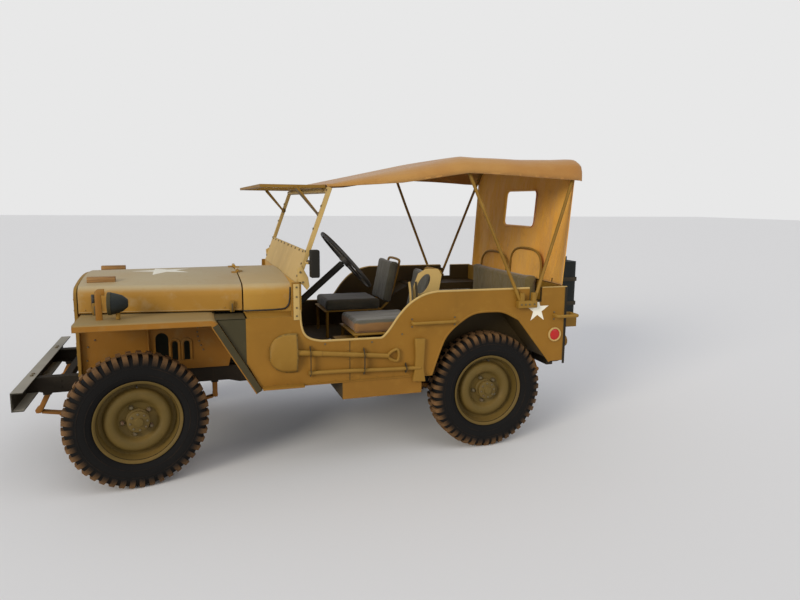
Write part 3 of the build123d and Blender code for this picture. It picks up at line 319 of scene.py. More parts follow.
@dataclass(frozen=True)
class Star:
    """A plain five-pointed painted star."""

    centre: Point
    radius: float
    right: Point
    up: Point
    depth: float = 0.05

    def mask(self, shade: Shade, place: Val) -> Val:
        """Share of star paint at each point.

        Args:
            shade: The material that it is painted in.
            place: Object coordinates.

        Returns:
            One on the star, zero off it.
        """
        away = shade.node("ShaderNodeVectorMath", {"operation": "SUBTRACT"}, 0, place, self.centre)
        dot = {"operation": "DOT_PRODUCT"}
        across = shade.node("ShaderNodeVectorMath", dot, "Value", away, self.right)
        high = shade.node("ShaderNodeVectorMath", dot, "Value", away, self.up)
        out = Vector(self.right).cross(Vector(self.up))
        off = shade.node("ShaderNodeVectorMath", dot, "Value", away, tuple(out))
        length = (across * across + high * high) ** 0.5
        sector = math.tau / 5
        turn = across.math("ARCTAN2", high)
        fold = abs(turn.math("WRAP", sector / 2, -sector / 2))
        along = length * fold.math("COSINE")
        beside = length * fold.math("SINE")
        notch = 0.382 * self.radius
        notch_along = notch * math.cos(sector / 2)
        notch_beside = notch * math.sin(sector / 2)
        slope = notch_beside / (self.radius - notch_along)
        inside = (self.radius - along) * slope - beside
        worn = shade.noise(place, 60.0, 4.0) * 0.004 - 0.002
        near = (self.depth - abs(off)).math("GREATER_THAN", 0.0)
        return (inside + worn).step(-0.0006, 0.0006) * near


@dataclass(frozen=True)
class FieldPaint:
    """Flat army paint with faded tops that also carry a painted sky reflection, dust below and worn edges."""

    name: str
    base: Colour
    # Faded paint; on the tops it also stands for a painted reflection of the sky.
    faded: Colour
    dust: Colour
    bare: Colour = srgb(70, 62, 46)
    # Colour of the painted shade inside the body and in the wheel arches.
    deep: Colour = srgb(52, 45, 27)
    star_white: Colour = srgb(232, 226, 206)
    # How far the tops turn to the faded colour: sun fading, and a painted sky reflection.
    sky_fade: float = 0.5
    low_dust: float = 0.35
    wear: float = 0.5
    roughness: float = 0.5
    star: Star | None = None
    # Half width inside which that painted shade falls; zero for none.
    inner: float = 0.0

    def make(self) -> bpy.types.Material:
        """Builds the material.

        Returns:
            The material.
        """
        s = Shade(self.name)
        place = s.place()
        z = s.axes(place)[2]
        broad = s.noise(place, 2.2, 4.0)
        blotch = s.noise(place, 11.0, 5.0, 0.6)
        fine = s.noise(place, 90.0, 4.0, 0.6)
        normal, edges = s.edge(0.0035)
        colour = s.mix(broad.step(0.35, 0.7), self.base, tuple(c * 0.82 for c in self.base[:3]) + (1.0,))
        colour = s.mix(blotch.step(0.5, 0.8) * 0.35, colour, self.faded)
        # Tops lighter: sun fading, and a painted reflection of the sky.
        sky = s.upward().step(0.3, 0.95) * (0.6 + broad * 0.8)
        colour = s.mix((sky * self.sky_fade).least(1.0), colour, self.faded)
        low = (1.0 - z.step(0.35, 0.95)) * (0.4 + blotch)
        colour = s.mix((low * self.low_dust).least(1.0), colour, self.dust)
        streaks = s.noise(s.stretch(place, (14.0, 14.0, 1.2)), 1.6, 3.0).step(0.55, 0.75) * 0.18
        colour = s.mix(streaks, colour, self.dust)
        rough = self.roughness + fine * 0.12 + sky * 0.06 + low * 0.12
        if self.star is not None:
            mask = self.star.mask(s, place)
            chips = 1.0 - (fine * 0.6 + blotch * 0.6).step(0.74, 0.84) * 0.55
            colour = s.mix(mask * chips, colour, self.star_white)
            rough = rough + mask * 0.05
        chip = edges * (blotch * 0.5 + fine * 0.7).step(0.5, 0.68) * self.wear
        rubbed = edges * self.wear * 0.55
        colour = s.mix(rubbed, colour, self.faded)
        colour = s.mix(chip, colour, self.bare)
        # Painted shade: faces inside the given half width turn dark, except the high shelf at the front.
        if self.inner > 0.0:
            along, across, _ = s.axes(place)
            shelf = along.step(0.24, 0.25) * z.step(0.884, 0.889)
            deep = (1.0 - abs(across).step(self.inner - 0.001, self.inner)) * (1.0 - shelf)
            colour = s.mix(deep * 0.9, colour, self.deep)
        height = fine * 0.5 + s.noise(place, 420.0, 2.0) * 0.5
        return s.finish(Base_Color=colour, Specular_IOR_Level=0.22, Roughness=rough,
            Normal=s.bump(height, 0.25, 0.0006, s.bump(s.noise(place, 5.0, 2.0), 0.25, 0.004, normal)))


@dataclass(frozen=True)
class Canvas:
    """Cotton duck: woven, faded, with soft wrinkles and stains, and painted sunlight on its upright faces where asked.
    """

    name: str
    base: Colour
    faded: Colour
    shadow: Colour
    thread: float = 0.0022
    wrinkle: float = 0.5
    uv: bool = True
    # Colour of painted sunlight on the upright faces; None for none.
    sides: Colour | None = None

    def make(self) -> bpy.types.Material:
        """Builds the material.

        Returns:
            The material.
        """
        s = Shade(self.name)
        place = s.place()
        cloth = s.node("ShaderNodeTexCoord", {}, "UV") if self.uv else place
        u, v, w = s.axes(cloth)
        turns = math.tau / self.thread
        if self.uv:
            weft = (u * turns).math("SINE")
            warp = (v * turns).math("SINE")
        else:
            weft = ((u + w * 0.6) * turns).math("SINE")
            warp = ((v + w * 0.8) * turns).math("SINE")
        weave = weft * warp * 0.5 + 0.5
        slub = s.noise(s.stretch(cloth, (14.0, 260.0, 14.0)), 1.0, 3.0)
        broad = s.noise(place, 2.6, 5.0, 0.6)
        stain = s.noise(place, 7.0, 6.0, 0.65)
        colour = s.mix(broad.step(0.3, 0.72), self.base, self.faded)
        colour = s.mix(stain.step(0.56, 0.78) * 0.4, colour, self.shadow)
        colour = s.mix((s.upward().step(0.3, 0.9)) * 0.3, colour, self.faded)
        # Painted sunlight: upright faces turn to the sides colour.
        if self.sides is not None:
            colour = s.mix((1.0 - s.upward().step(0.2, 0.6)) * 0.85, colour, self.sides)
        colour = s.mix((1.0 - weave) * 0.22 + slub * 0.12, colour, self.shadow)
        folds = s.noise(s.stretch(place, (2.0, 9.0, 5.0)), 1.6, 4.0, 0.5)
        normal = s.bump(folds, self.wrinkle, 0.02)
        normal = s.bump(weave * 0.7 + slub * 0.5, 0.35, 0.0006, normal)
        return s.finish(Base_Color=colour, Roughness=0.86 + stain * 0.1, Normal=normal, Sheen_Weight=0.25,
            Sheen_Roughness=0.5)


@dataclass(frozen=True)
class TyreRubber:
    """Black rubber with road dust on the lugs and the lower wall; the light lugs over dark gaps are also painted
    sunlight and shade.
    """

    name: str
    base: Colour = srgb(17, 15, 13)
    dust: Colour = srgb(134, 98, 60)

    def make(self) -> bpy.types.Material:
        """Builds the material; it reads the tyre's own 'dust' attribute, which also carries painted sunlight on the
        lugs.

        Returns:
            The material.
        """
        s = Shade(self.name)
        place = s.place()
        worn = s.node("ShaderNodeAttribute", {"attribute_name": "dust"}, "Fac")
        fine = s.noise(place, 140.0, 4.0, 0.65)
        patch = s.noise(place, 9.0, 5.0, 0.6)
        amount = (worn * (0.35 + patch * 0.9) + fine * 0.3 - 0.25).step(0.1, 0.95) * 0.8
        colour = s.mix(amount, self.base, self.dust)
        colour = s.mix((fine * patch).step(0.3, 0.5) * 0.2, colour, srgb(58, 50, 42))
        return s.finish(Base_Color=colour, Specular_IOR_Level=0.2, Roughness=0.78 + fine * 0.15,
            Normal=s.bump(fine + patch * 0.5, 0.4, 0.0012))


@dataclass(frozen=True)
class OldWood:
    """Bare worn wood with its grain along one axis."""

    name: str
    base: Colour = srgb(176, 128, 74)
    dark: Colour = srgb(106, 70, 40)
    along: Point = (1.5, 40.0, 40.0)

    def make(self) -> bpy.types.Material:
        """Builds the material.

        Returns:
            The material.
        """
        s = Shade(self.name)
        place = s.place()
        grain = s.noise(s.stretch(place, self.along), 3.0, 5.0, 0.6)
        fine = s.noise(s.stretch(place, tuple(a * 3 for a in self.along)), 3.0, 2.0)
        dirt = s.noise(place, 12.0, 4.0)
        colour = s.mix(grain.step(0.35, 0.68), self.base, self.dark)
        colour = s.mix(dirt.step(0.55, 0.8) * 0.5, colour, srgb(84, 70, 52))
        return s.finish(Base_Color=colour, Roughness=0.6 + grain * 0.2,
            Normal=s.bump(grain * 0.6 + fine * 0.4, 0.4, 0.001))


@dataclass(frozen=True)
class BareMetal:
    """Worn or rusty metal."""

    name: str
    base: Colour
    rust: Colour = srgb(96, 60, 38)
    rusting: float = 0.5
    metallic: float = 0.8
    roughness: float = 0.45

    def make(self) -> bpy.types.Material:
        """Builds the material.

        Returns:
            The material.
        """
        s = Shade(self.name)
        place = s.place()
        patch = s.noise(place, 16.0, 6.0, 0.65)
        fine = s.noise(place, 160.0, 3.0)
        rusted = (patch * 0.8 + fine * 0.3).step(0.62 - self.rusting * 0.3, 0.82 - self.rusting * 0.2)
        colour = s.mix(rusted, self.base, self.rust)
        normal, _ = s.edge(0.002)
        return s.finish(Base_Color=colour, Metallic=(1.0 - rusted) * self.metallic,
            Roughness=self.roughness + rusted * 0.4, Normal=s.bump(fine + rusted * 0.5, 0.3, 0.0008, normal))


@dataclass(frozen=True)
class Smooth:
    """Plain smooth stuff, such as hard rubber, lens glass or webbing, with light dust."""

    name: str
    base: Colour
    dust: Colour = srgb(120, 108, 84)
    dusty: float = 0.25
    roughness: float = 0.3
    metallic: float = 0.0
    clear: float = 0.0
    alpha: float = 1.0
    ribs: float = 0.0

    def make(self) -> bpy.types.Material:
        """Builds the material.

        Returns:
            The material.
        """
        s = Shade(self.name)
        place = s.place()
        fine = s.noise(place, 70.0, 4.0)
        broad = s.noise(place, 6.0, 3.0)
        amount = (fine * 0.5 + broad * 0.5 + s.upward() * 0.1).step(0.4, 0.8) * self.dusty
        colour = s.mix(amount, self.base, self.dust)
        height = fine
        if self.ribs:
            x, y, z = s.axes(place)
            height = ((x + y + z) * (math.tau / self.ribs)).math("SINE") * 0.5 + fine * 0.3
        s.bsdf.inputs["Transmission Weight"].default_value = self.clear
        s.bsdf.inputs["IOR"].default_value = 1.45
        return s.finish(Base_Color=colour, Roughness=self.roughness + amount * 0.4, Metallic=self.metallic,
            Alpha=self.alpha, Normal=s.bump(height, 0.2, 0.0008))


def side_paint(name: str, side: int) -> FieldPaint:
    """Makes the paint of one body side, with its star and painted shade on its inner face and in its wheel arch.

    Args:
        name: The finish's name.
        side: 1 for the left, -1 for the right.

    Returns:
        The paint.
    """
    star = Star((-1.209, side * 0.73, 0.862), 0.08, (-side, 0.0, 0.0), (0.0, 0.0, 1.0), 0.01)
    return FieldPaint(name, srgb(140, 98, 28), srgb(164, 124, 46), srgb(144, 98, 32), star=star, inner=0.7285)


class Stuff(Enum):
    """The finishes of the car."""

    # The golden body, hood, fender, side and floor paints are one olive drab paint given its colour in warm low sun:
    # painted sunlight. The hood and fenders add a strong painted sky reflection on their tops.
    PAINT = FieldPaint("body_paint", srgb(138, 102, 34), srgb(164, 130, 60), srgb(148, 106, 42))
    HOOD = FieldPaint("hood_paint", srgb(164, 120, 46), srgb(178, 162, 126), srgb(160, 118, 50), sky_fade=0.85,
        roughness=0.42, star=Star((0.965, 0.0, 1.0832), 0.18, (0.0, 1.0, 0.0), (1.0, 0.0, 0.0), 0.008))
    # The cowl's paint: the body paint made lighter where the sun falls on it, painted sunlight, with a strong painted
    # sky reflection on top.
    COWL = FieldPaint("cowl_paint", srgb(184, 140, 58), srgb(188, 168, 126), srgb(176, 132, 58), sky_fade=0.85)
    FENDER = FieldPaint("fender_paint", srgb(144, 96, 26), srgb(150, 130, 86), srgb(146, 100, 34), sky_fade=0.85)
    # Dark olive: the body paint as it looks in shade, painted shade, for pieces that stand in shade.
    OLIVE = FieldPaint("deep_olive_paint", srgb(60, 54, 32), srgb(88, 78, 50), srgb(76, 62, 36), sky_fade=0.4)
    # Light golden paint for the windshield frame, door and rear edges, posts, horns and the seat wing: the body paint
    # as in full sun, painted sunlight.
    SHIELD = FieldPaint("windshield_paint", srgb(190, 158, 94), srgb(214, 186, 126), srgb(184, 146, 82))
    LEFT_SIDE = side_paint("left_side_paint", 1)
    RIGHT_SIDE = side_paint("right_side_paint", -1)
    WHEEL = FieldPaint("wheel_paint", srgb(92, 76, 32), srgb(128, 102, 50), srgb(106, 78, 36), low_dust=0.25,
        roughness=0.45)
    # Near-black chassis paint: the frame and running gear darkened to the shade they stand in, painted shade.
    CHASSIS = FieldPaint("chassis_black_paint", srgb(32, 29, 22), srgb(52, 46, 33), srgb(62, 48, 31), low_dust=0.4,
        sky_fade=0.3, roughness=0.62)
    # Dark bumper with a pale top: real wear, and a painted sky highlight on the top.
    BUMPER = FieldPaint("bumper_paint", srgb(34, 32, 24), srgb(172, 166, 150), srgb(62, 52, 36), low_dust=0.3,
        sky_fade=0.9, wear=0.9)
    # Near-black olive for the fuel can: its paint darkened to the shade it stands in, painted shade, and a painted sky
    # reflection on its top.
    CAN = FieldPaint("can_paint", srgb(30, 33, 30), srgb(66, 68, 60), srgb(60, 50, 34), low_dust=0.2)
    # Floor paint, with painted shade inside the tub.
    INSIDE = FieldPaint("inside_paint", srgb(140, 98, 28), srgb(164, 124, 46), srgb(136, 92, 32), low_dust=0.5,
        inner=0.7245)
    SPRING = FieldPaint("spring_paint", srgb(146, 96, 36), srgb(172, 122, 56), srgb(140, 92, 42), low_dust=0.3)
    ENGINE = FieldPaint("engine_paint", srgb(66, 72, 56), srgb(84, 86, 68), srgb(50, 42, 32), low_dust=0.6)
    ROOF = Canvas("roof_canvas", srgb(168, 114, 46), srgb(184, 136, 68), srgb(122, 80, 32))
    # The rear curtain: the roof's canvas made brighter and more golden, as in strong sun: painted sunlight.
    CURTAIN = Canvas("curtain_canvas", srgb(232, 164, 50), srgb(238, 178, 74), srgb(170, 114, 40), wrinkle=0.7)
    SEAT = Canvas("seat_canvas", srgb(64, 62, 50), srgb(88, 84, 68), srgb(38, 36, 30), thread=0.0026, uv=False)
    # The driver's cushion: the seat canvas with painted sunlight on its sides.
    NEAR_SEAT = Canvas("near_seat_canvas", srgb(80, 78, 66), srgb(104, 100, 84), srgb(44, 42, 36), thread=0.0026,
        uv=False, sides=srgb(158, 110, 50))
    REAR_SEAT = Canvas("rear_seat_canvas", srgb(96, 84, 46), srgb(128, 110, 64), srgb(60, 50, 30), thread=0.0026,
        uv=False)
    WEBBING = Smooth("strap_webbing", srgb(52, 44, 28), roughness=0.8, ribs=0.004)
    TYRE = TyreRubber("tyre_rubber")
    RUBBER = Smooth("hard_rubber", srgb(28, 27, 26), roughness=0.42, dusty=0.35)
    WOOD = OldWood("block_wood", srgb(160, 118, 62), srgb(116, 80, 40))
    STEEL = BareMetal("tool_steel", srgb(150, 148, 140), rusting=0.3)
    EXHAUST = BareMetal("sooty_exhaust_steel", srgb(92, 80, 70), rusting=0.9, metallic=0.5, roughness=0.6)
    BOLT = BareMetal("bolt_steel", srgb(104, 92, 66), rusting=0.3, metallic=0.4, roughness=0.5)
    LENS = Smooth("lamp_lens", srgb(214, 214, 204), roughness=0.08, dusty=0.2, metallic=0.55)
    RED = Smooth("red_lens", srgb(176, 22, 14), roughness=0.14, dusty=0.12)
    PANE = Smooth("clear_pane_glass", srgb(214, 224, 216), roughness=0.04, dusty=0.12, clear=0.0, alpha=0.24)
    MIRROR = Smooth("mirror_glass", srgb(206, 210, 212), roughness=0.05, dusty=0.1, metallic=1.0)
    DIAL = Smooth("dial_face", srgb(24, 24, 24), roughness=0.25, dusty=0.2)
    CREAM = Smooth("dial_marks", srgb(220, 212, 180), roughness=0.4, dusty=0.1)

    def material(self) -> bpy.types.Material:
        """The finish's material, made once."""
        return bpy.data.materials.get(self.value.name) or self.value.make()


class Mould:
    """Makes plain meshes in the car's frame."""

    @staticmethod
    def shown(name: str, data: Any) -> Piece:
        """Puts a mesh, curve, light or camera in the scene, at the origin.

        Args:
            name: The object's name.
            data: What it shows.

        Returns:
            The object.
        """
        made = bpy.data.objects.new(name, data)
        bpy.context.scene.collection.objects.link(made)
        return made

    @staticmethod
    def baked(holder: Piece) -> bpy.types.Mesh:
        """Copies an object's mesh with its modifiers applied."""
        graph = bpy.context.evaluated_depsgraph_get()
        return bpy.data.meshes.new_from_object(holder.evaluated_get(graph), depsgraph=graph)

    @staticmethod
    def settled(mesh: bpy.types.Mesh) -> bpy.types.Mesh:
        """Merges a mesh's doubles and turns its faces outwards.

        Args:
            mesh: The mesh, which is changed.

        Returns:
            The same mesh.
        """
        work = bmesh.new()
        work.from_mesh(mesh)
        bmesh.ops.remove_doubles(work, verts=work.verts, dist=0.00001)
        bmesh.ops.recalc_face_normals(work, faces=work.faces)
        work.to_mesh(mesh)
        work.free()
        return mesh

    @staticmethod
    def thicken(sheet: Piece, thick: float) -> Piece:
        """Gives a sheet its thickness, half to each side.

        Args:
            sheet: The sheet.
            thick: Its thickness.

        Returns:
            The same sheet.
        """
        solid = sheet.modifiers.new("thickness", "SOLIDIFY")
        solid.thickness = thick
        solid.offset = 0.0
        return sheet

    @staticmethod
    def net(rows: int, columns: int) -> list[tuple[int, ...]]:
        """Faces between the points of a grid.

        Args:
            rows: Its rows of points.
            columns: Points in each row.

        Returns:
            The faces, each starting at its first row and column.
        """
        corners = [(r * columns + c, (r + 1) * columns + c) for r in range(rows - 1) for c in range(columns - 1)]
        return [(near, near + 1, far + 1, far) for near, far in corners]

    @staticmethod
    def piece(name: str, verts: Sequence[Sequence[float]], faces: Sequence[Sequence[int]], stuff: Stuff,
            smooth: float = 0.6) -> Piece:
        """Makes one object from points and faces.

        Args:
            name: The piece's name.
            verts: Points in metres.
            faces: Loops of point numbers.
            stuff: Its finish.
            smooth: Angle in radians under which edges are shaded smooth.

        Returns:
            The object, at the origin.
        """
        mesh = bpy.data.meshes.new(name)
        mesh.from_pydata([tuple(v) for v in verts], [], [tuple(f) for f in faces])
        return Mould.wrap(name, Mould.settled(mesh), stuff, smooth)

    @staticmethod
    def wrap(name: str, mesh: bpy.types.Mesh, stuff: Stuff | None, smooth: float) -> Piece:
        """Puts a mesh on an object with its finish and shading.

        Args:
            name: The piece's name.
            mesh: The mesh.
            stuff: Its finish, or None to keep the mesh's own materials.
            smooth: Angle in radians under which edges are shaded smooth.

        Returns:
            The object, at the origin.
        """
        if stuff is not None:
            mesh.materials.clear()
            mesh.materials.append(stuff.material())
        mesh.polygons.foreach_set("use_smooth", [True] * len(mesh.polygons))
        mesh.set_sharp_from_angle(angle=smooth)
        return Mould.shown(name, mesh)

    @staticmethod
    def join(name: str, pieces: Sequence[Piece]) -> Piece:
        """Joins objects into the first, under a new name.

        Args:
            name: The joined piece's name.
            pieces: The objects.

        Returns:
            The joined object.
        """
        keep = pieces[0]
        with bpy.context.temp_override(active_object=keep, selected_editable_objects=list(pieces)):
            bpy.ops.object.join()
        keep.name = keep.data.name = name
        return keep

    @staticmethod
    def lathe(name: str, outline: Flat, seat: Matrix, stuff: Stuff, turns: int = 48, smooth: float = 0.6) -> Piece:
        """Turns an outline about an axle.

        Args:
            name: The piece's name.
            outline: Pairs of place along the axle and radius, closed by itself.
            seat: Matrix from the axle's own frame, with the axle along X.
            stuff: The finish.
            turns: Number of sides.
            smooth: Angle under which edges are smooth.

        Returns:
            The turned piece.
        """
        verts: list[Vector] = []
        faces: list[tuple[int, ...]] = []
        count = len(outline)
        for turn in range(turns):
            angle = math.tau * turn / turns
            verts += [seat @ Vector((x, r * math.cos(angle), r * math.sin(angle))) for x, r in outline]
            here, there = turn * count, (turn + 1) % turns * count
            faces += [(here + n, here + (n + 1) % count, there + (n + 1) % count, there + n) for n in range(count)]
        return Mould.piece(name, verts, faces, stuff, smooth)

    @staticmethod
    def plate(name: str, outline: Flat, seat: Matrix, depth: float, stuff: Stuff, bevel: float = 0.0,
            segments: int = 2) -> Piece:
        """Extrudes a flat outline along its seat's Z axis and rounds its edges.

        Args:
            name: The piece's name.
            outline: Points in the seat's XY plane, in metres.
            seat: Matrix from the outline's frame.
            depth: Thickness.
            stuff: The finish.
            bevel: Radius of the rounded edges.
            segments: Steps in each rounded edge.

        Returns:
            The plate.
        """
        work = bmesh.new()
        face = work.faces.new([work.verts.new((x, y, 0.0)) for x, y in outline])
        lifted = bmesh.ops.extrude_face_region(work, geom=[face])
        moved = [v for v in lifted["geom"] if isinstance(v, bmesh.types.BMVert)]
        bmesh.ops.translate(work, verts=moved, vec=(0.0, 0.0, depth))
        bmesh.ops.recalc_face_normals(work, faces=work.faces)
        if bevel:
            bmesh.ops.bevel(work, geom=work.edges[:], offset=bevel, segments=segments, affect="EDGES", profile=0.5,
                clamp_overlap=True)
        bmesh.ops.transform(work, matrix=seat, verts=work.verts)
        mesh = bpy.data.meshes.new(name)
        work.to_mesh(mesh)
        work.free()
        return Mould.wrap(name, mesh, stuff, 0.7)

    @staticmethod
    def cutout(name: str, loops: Sequence[Flat], seat: Matrix, depth: float, stuff: Stuff) -> Piece:
        """Makes a flat plate from an outline and the outlines of its holes.

        Args:
            name: The piece's name.
            loops: The outline, then each hole, in the seat's XY plane.
            seat: Matrix from the outlines' frame.
            depth: Thickness, along the seat's Z axis.
            stuff: The finish.

        Returns:
            The plate.
        """
        curve = bpy.data.curves.new(name, "CURVE")
        curve.dimensions = "2D"
        curve.fill_mode = "BOTH"
        curve.extrude = depth / 2
        for loop in loops:
            line = curve.splines.new("POLY")
            line.points.add(len(loop) - 1)
            for point, (x, y) in zip(line.points, loop):
                point.co = (x, y, 0.0, 1.0)
            line.use_cyclic_u = True
        holder = Mould.shown(name, curve)
        mesh = Mould.baked(holder)
        bpy.data.objects.remove(holder)
        mesh.transform(seat @ Matrix.Translation((0.0, 0.0, depth / 2)))
        return Mould.wrap(name, Mould.settled(mesh), stuff, 0.5)

    @staticmethod
    def bent(name: str, path: Flat, section: Flat, side: float, stuff: Stuff) -> Piece:
        """Carries a section along a path that lies in a lengthwise upright plane.

        Args:
            name: The piece's name.
            path: Points (x, z).
            section: Closed outline of (y, depth below the path).
            side: 1 for the left of the car, -1 for the right.
            stuff: The finish.

        Returns:
            The bent sheet.
        """
        verts: list[Point] = []
        count = len(section)
        for number, (x, z) in enumerate(path):
            before = Vector(path[max(0, number - 1)])
            after = Vector(path[min(len(path) - 1, number + 1)])
            way = (after - before).normalized()
            down = Vector((way.y, -way.x)) if way.x > 0 else Vector((-way.y, way.x))
            verts += [(x + down.x * d, y * side, z + down.y * d) for y, d in section]
        faces: list[tuple[int, ...]] = [tuple(range(count)), tuple(range(len(verts) - count, len(verts)))]
        for here in range(0, len(verts) - count, count):
            for k in range(count):
                n = (k + 1) % count
                faces.append((here + k, here + n, here + count + n, here + count + k))
        return Mould.piece(name, verts, faces, stuff, 0.5)

    @staticmethod
    def block(name: str, one: Sequence[float], other: Sequence[float], stuff: Stuff, bevel: float = 0.002,
            segments: int = 2) -> Piece:
        """Makes a box with rounded edges between two corners.

        Args:
            name: The piece's name.
            one: A corner.
            other: The corner across from it.
            stuff: The finish.
            bevel: Radius of the rounded edges.
            segments: Steps in each rounded edge.

        Returns:
            The box.
        """
        (x0, x1), (y0, y1), (z0, z1) = (sorted(pair) for pair in zip(one, other))
        outline = [(x0, y0), (x1, y0), (x1, y1), (x0, y1)]
        return Mould.plate(name, outline, Matrix.Translation((0, 0, z0)), z1 - z0, stuff, bevel, segments)


def seat_on(origin: Sequence[float], along: Sequence[float], up: Sequence[float] = (0.0, 0.0, 1.0)) -> Matrix:
    """Frame with its X axis along a direction.

    Args:
        origin: Where it sits.
        along: Direction of its X axis.
        up: Direction that its Z axis leans to.

    Returns:
        The matrix.
    """
    x = Vector(along).normalized()
    z = (Vector(up) - x * x.dot(Vector(up))).normalized()
    y = z.cross(x)
    made = Matrix((x, y, z)).transposed().to_4x4()
    made.translation = Vector(origin)
    return made


def standing(origin: Sequence[float], across: Sequence[float], up: Sequence[float]) -> Matrix:
    """Frame of a flat outline.

    Args:
        origin: Where it sits.
        across: Direction of its X axis.
        up: Direction of its Y axis; Z points out of the plate.

    Returns:
        The matrix.
    """
    x = Vector(across).normalized()
    y = Vector(up).normalized()
    made = Matrix((x, y, x.cross(y))).transposed().to_4x4()
    made.translation = Vector(origin)
    return made


def upright(y: float) -> Matrix:
    """Frame of an outline (x, z) that stands lengthwise at a place across the car."""
    return standing((0.0, y, 0.0), (1.0, 0.0, 0.0), (0.0, 0.0, 1.0))


class Shop:
    """A Geometry Nodes tree with named inputs that is baked to a plain mesh."""

    def __init__(self, name: str, **inputs: str) -> None:
        """Starts the tree.

        Args:
            name: The tree's name.
            inputs: Kinds of its named inputs, such as Float; Material is added.
        """
        self.tree = bpy.data.node_groups.new(name, "GeometryNodeTree")
        face = self.tree.interface
        face.new_socket("Geometry", in_out="INPUT", socket_type="NodeSocketGeometry")
        self.ids = {}
        for label, kind in {**inputs, "Material": "Material"}.items():
            self.ids[label] = face.new_socket(label, in_out="INPUT", socket_type=f"NodeSocket{kind}").identifier
        face.new_socket("Geometry", in_out="OUTPUT", socket_type="NodeSocketGeometry")
        self.given = self.tree.nodes.new("NodeGroupInput").outputs
        self.end = self.tree.nodes.new("NodeGroupOutput")

    def feed(self, socket: Any, value: Any) -> None:
        """Links or sets one input.

        Args:
            socket: The input.
            value: A socket or a plain value.
        """
        if isinstance(value, bpy.types.NodeSocket):
            self.tree.links.new(value, socket)
        else:
            socket.default_value = value

    def node(self, kind: str, settings: dict[str, Any], out: int | str, **inputs: Any) -> Any:
        """Adds one node.

        Args:
            kind: The node's type.
            settings: Its own settings.
            out: Which output to return.
            inputs: Sockets by name, with _ for a space: sockets to link or values.

        Returns:
            The output socket.
        """
        made = self.tree.nodes.new(kind)
        for key, value in settings.items():
            setattr(made, key, value)
        for key, value in inputs.items():
            self.feed(made.inputs[key.replace("_", " ")], value)
        return made.outputs[out]

    def math(self, operation: str, *values: Any) -> Any:
        """Adds one Math node.

        Args:
            operation: Its operation.
            values: Sockets or numbers for its inputs.

        Returns:
            The result's socket.
        """
        result = self.node("ShaderNodeMath", {"operation": operation}, 0)
        for socket, value in zip(result.node.inputs, values):
            self.feed(socket, value)
        return result

    def close(self, geometry: Any) -> None:
        """Ends the tree in Realize Instances and Set Material.

        Args:
            geometry: The socket with the finished shape.
        """
        real = self.node("GeometryNodeRealizeInstances", {}, 0, Geometry=geometry)
        last = self.node("GeometryNodeSetMaterial", {}, 0, Geometry=real, Material=self.given["Material"])
        self.tree.links.new(last, self.end.inputs[0])

    def bake(self, name: str, source: bpy.types.Mesh, stuff: Stuff, smooth: float = 0.6, **values: Any) -> Piece:
        """Runs the tree on a mesh.

        Args:
            name: The new piece's name.
            source: The mesh that the tree reads.
            stuff: The finish.
            smooth: Angle under which edges are smooth.
            values: The tree's inputs by name.

        Returns:
            The piece, a plain mesh at the origin.
        """
        holder = Mould.shown(name + "_source", source)
        modifier = holder.modifiers.new("nodes", "NODES")
        modifier.node_group = self.tree
        for label, value in {**values, "Material": stuff.material()}.items():
            modifier[self.ids[label]] = value
        mesh = Mould.baked(holder)
        mesh.name = name
        bpy.data.objects.remove(holder)
        return Mould.wrap(name, mesh, None, smooth)


class RingRepeat(Shop):
    """Repeats a small template round the X axis, such as tyre lugs or wheel nuts."""

    def __init__(self) -> None:
        """Builds the tree."""
        super().__init__("ring_repeat", Count="Int", Start="Float", Template="Object")
        given = self.given
        points = self.node("GeometryNodeMeshLine", {"mode": "OFFSET"}, 0, Count=given["Count"], Offset=(0, 0, 0))
        index = self.node("GeometryNodeInputIndex", {}, 0)
        angle = self.math("MULTIPLY_ADD", self.math("DIVIDE", index, given["Count"]), math.tau, given["Start"])
        turn = self.node("ShaderNodeCombineXYZ", {}, 0, X=angle)
        as_made = {"transform_space": "ORIGINAL"}
        shape = self.node("GeometryNodeObjectInfo", as_made, "Geometry", Object=given["Template"])
        self.close(self.node("GeometryNodeInstanceOnPoints", {}, 0, Points=points, Instance=shape, Rotation=turn))

    def ring(self, name: str, template: Piece, count: int, seat: Matrix, stuff: Stuff, start: float = 0.0) -> Piece:
        """Makes one ring of copies.

        Args:
            name: The piece's name.
            template: The shape to repeat, in the axle's frame; it is removed.
            count: Number of copies.
            seat: Matrix from the axle's frame.
            stuff: The finish.
            start: Angle of the first copy.

        Returns:
            The ring.
        """
        seed = bpy.data.meshes.new(name + "_seed")
        made = self.bake(name, seed, stuff, Count=count, Start=start, Template=template)
        made.data.transform(seat)
        bpy.data.objects.remove(template)
        return made


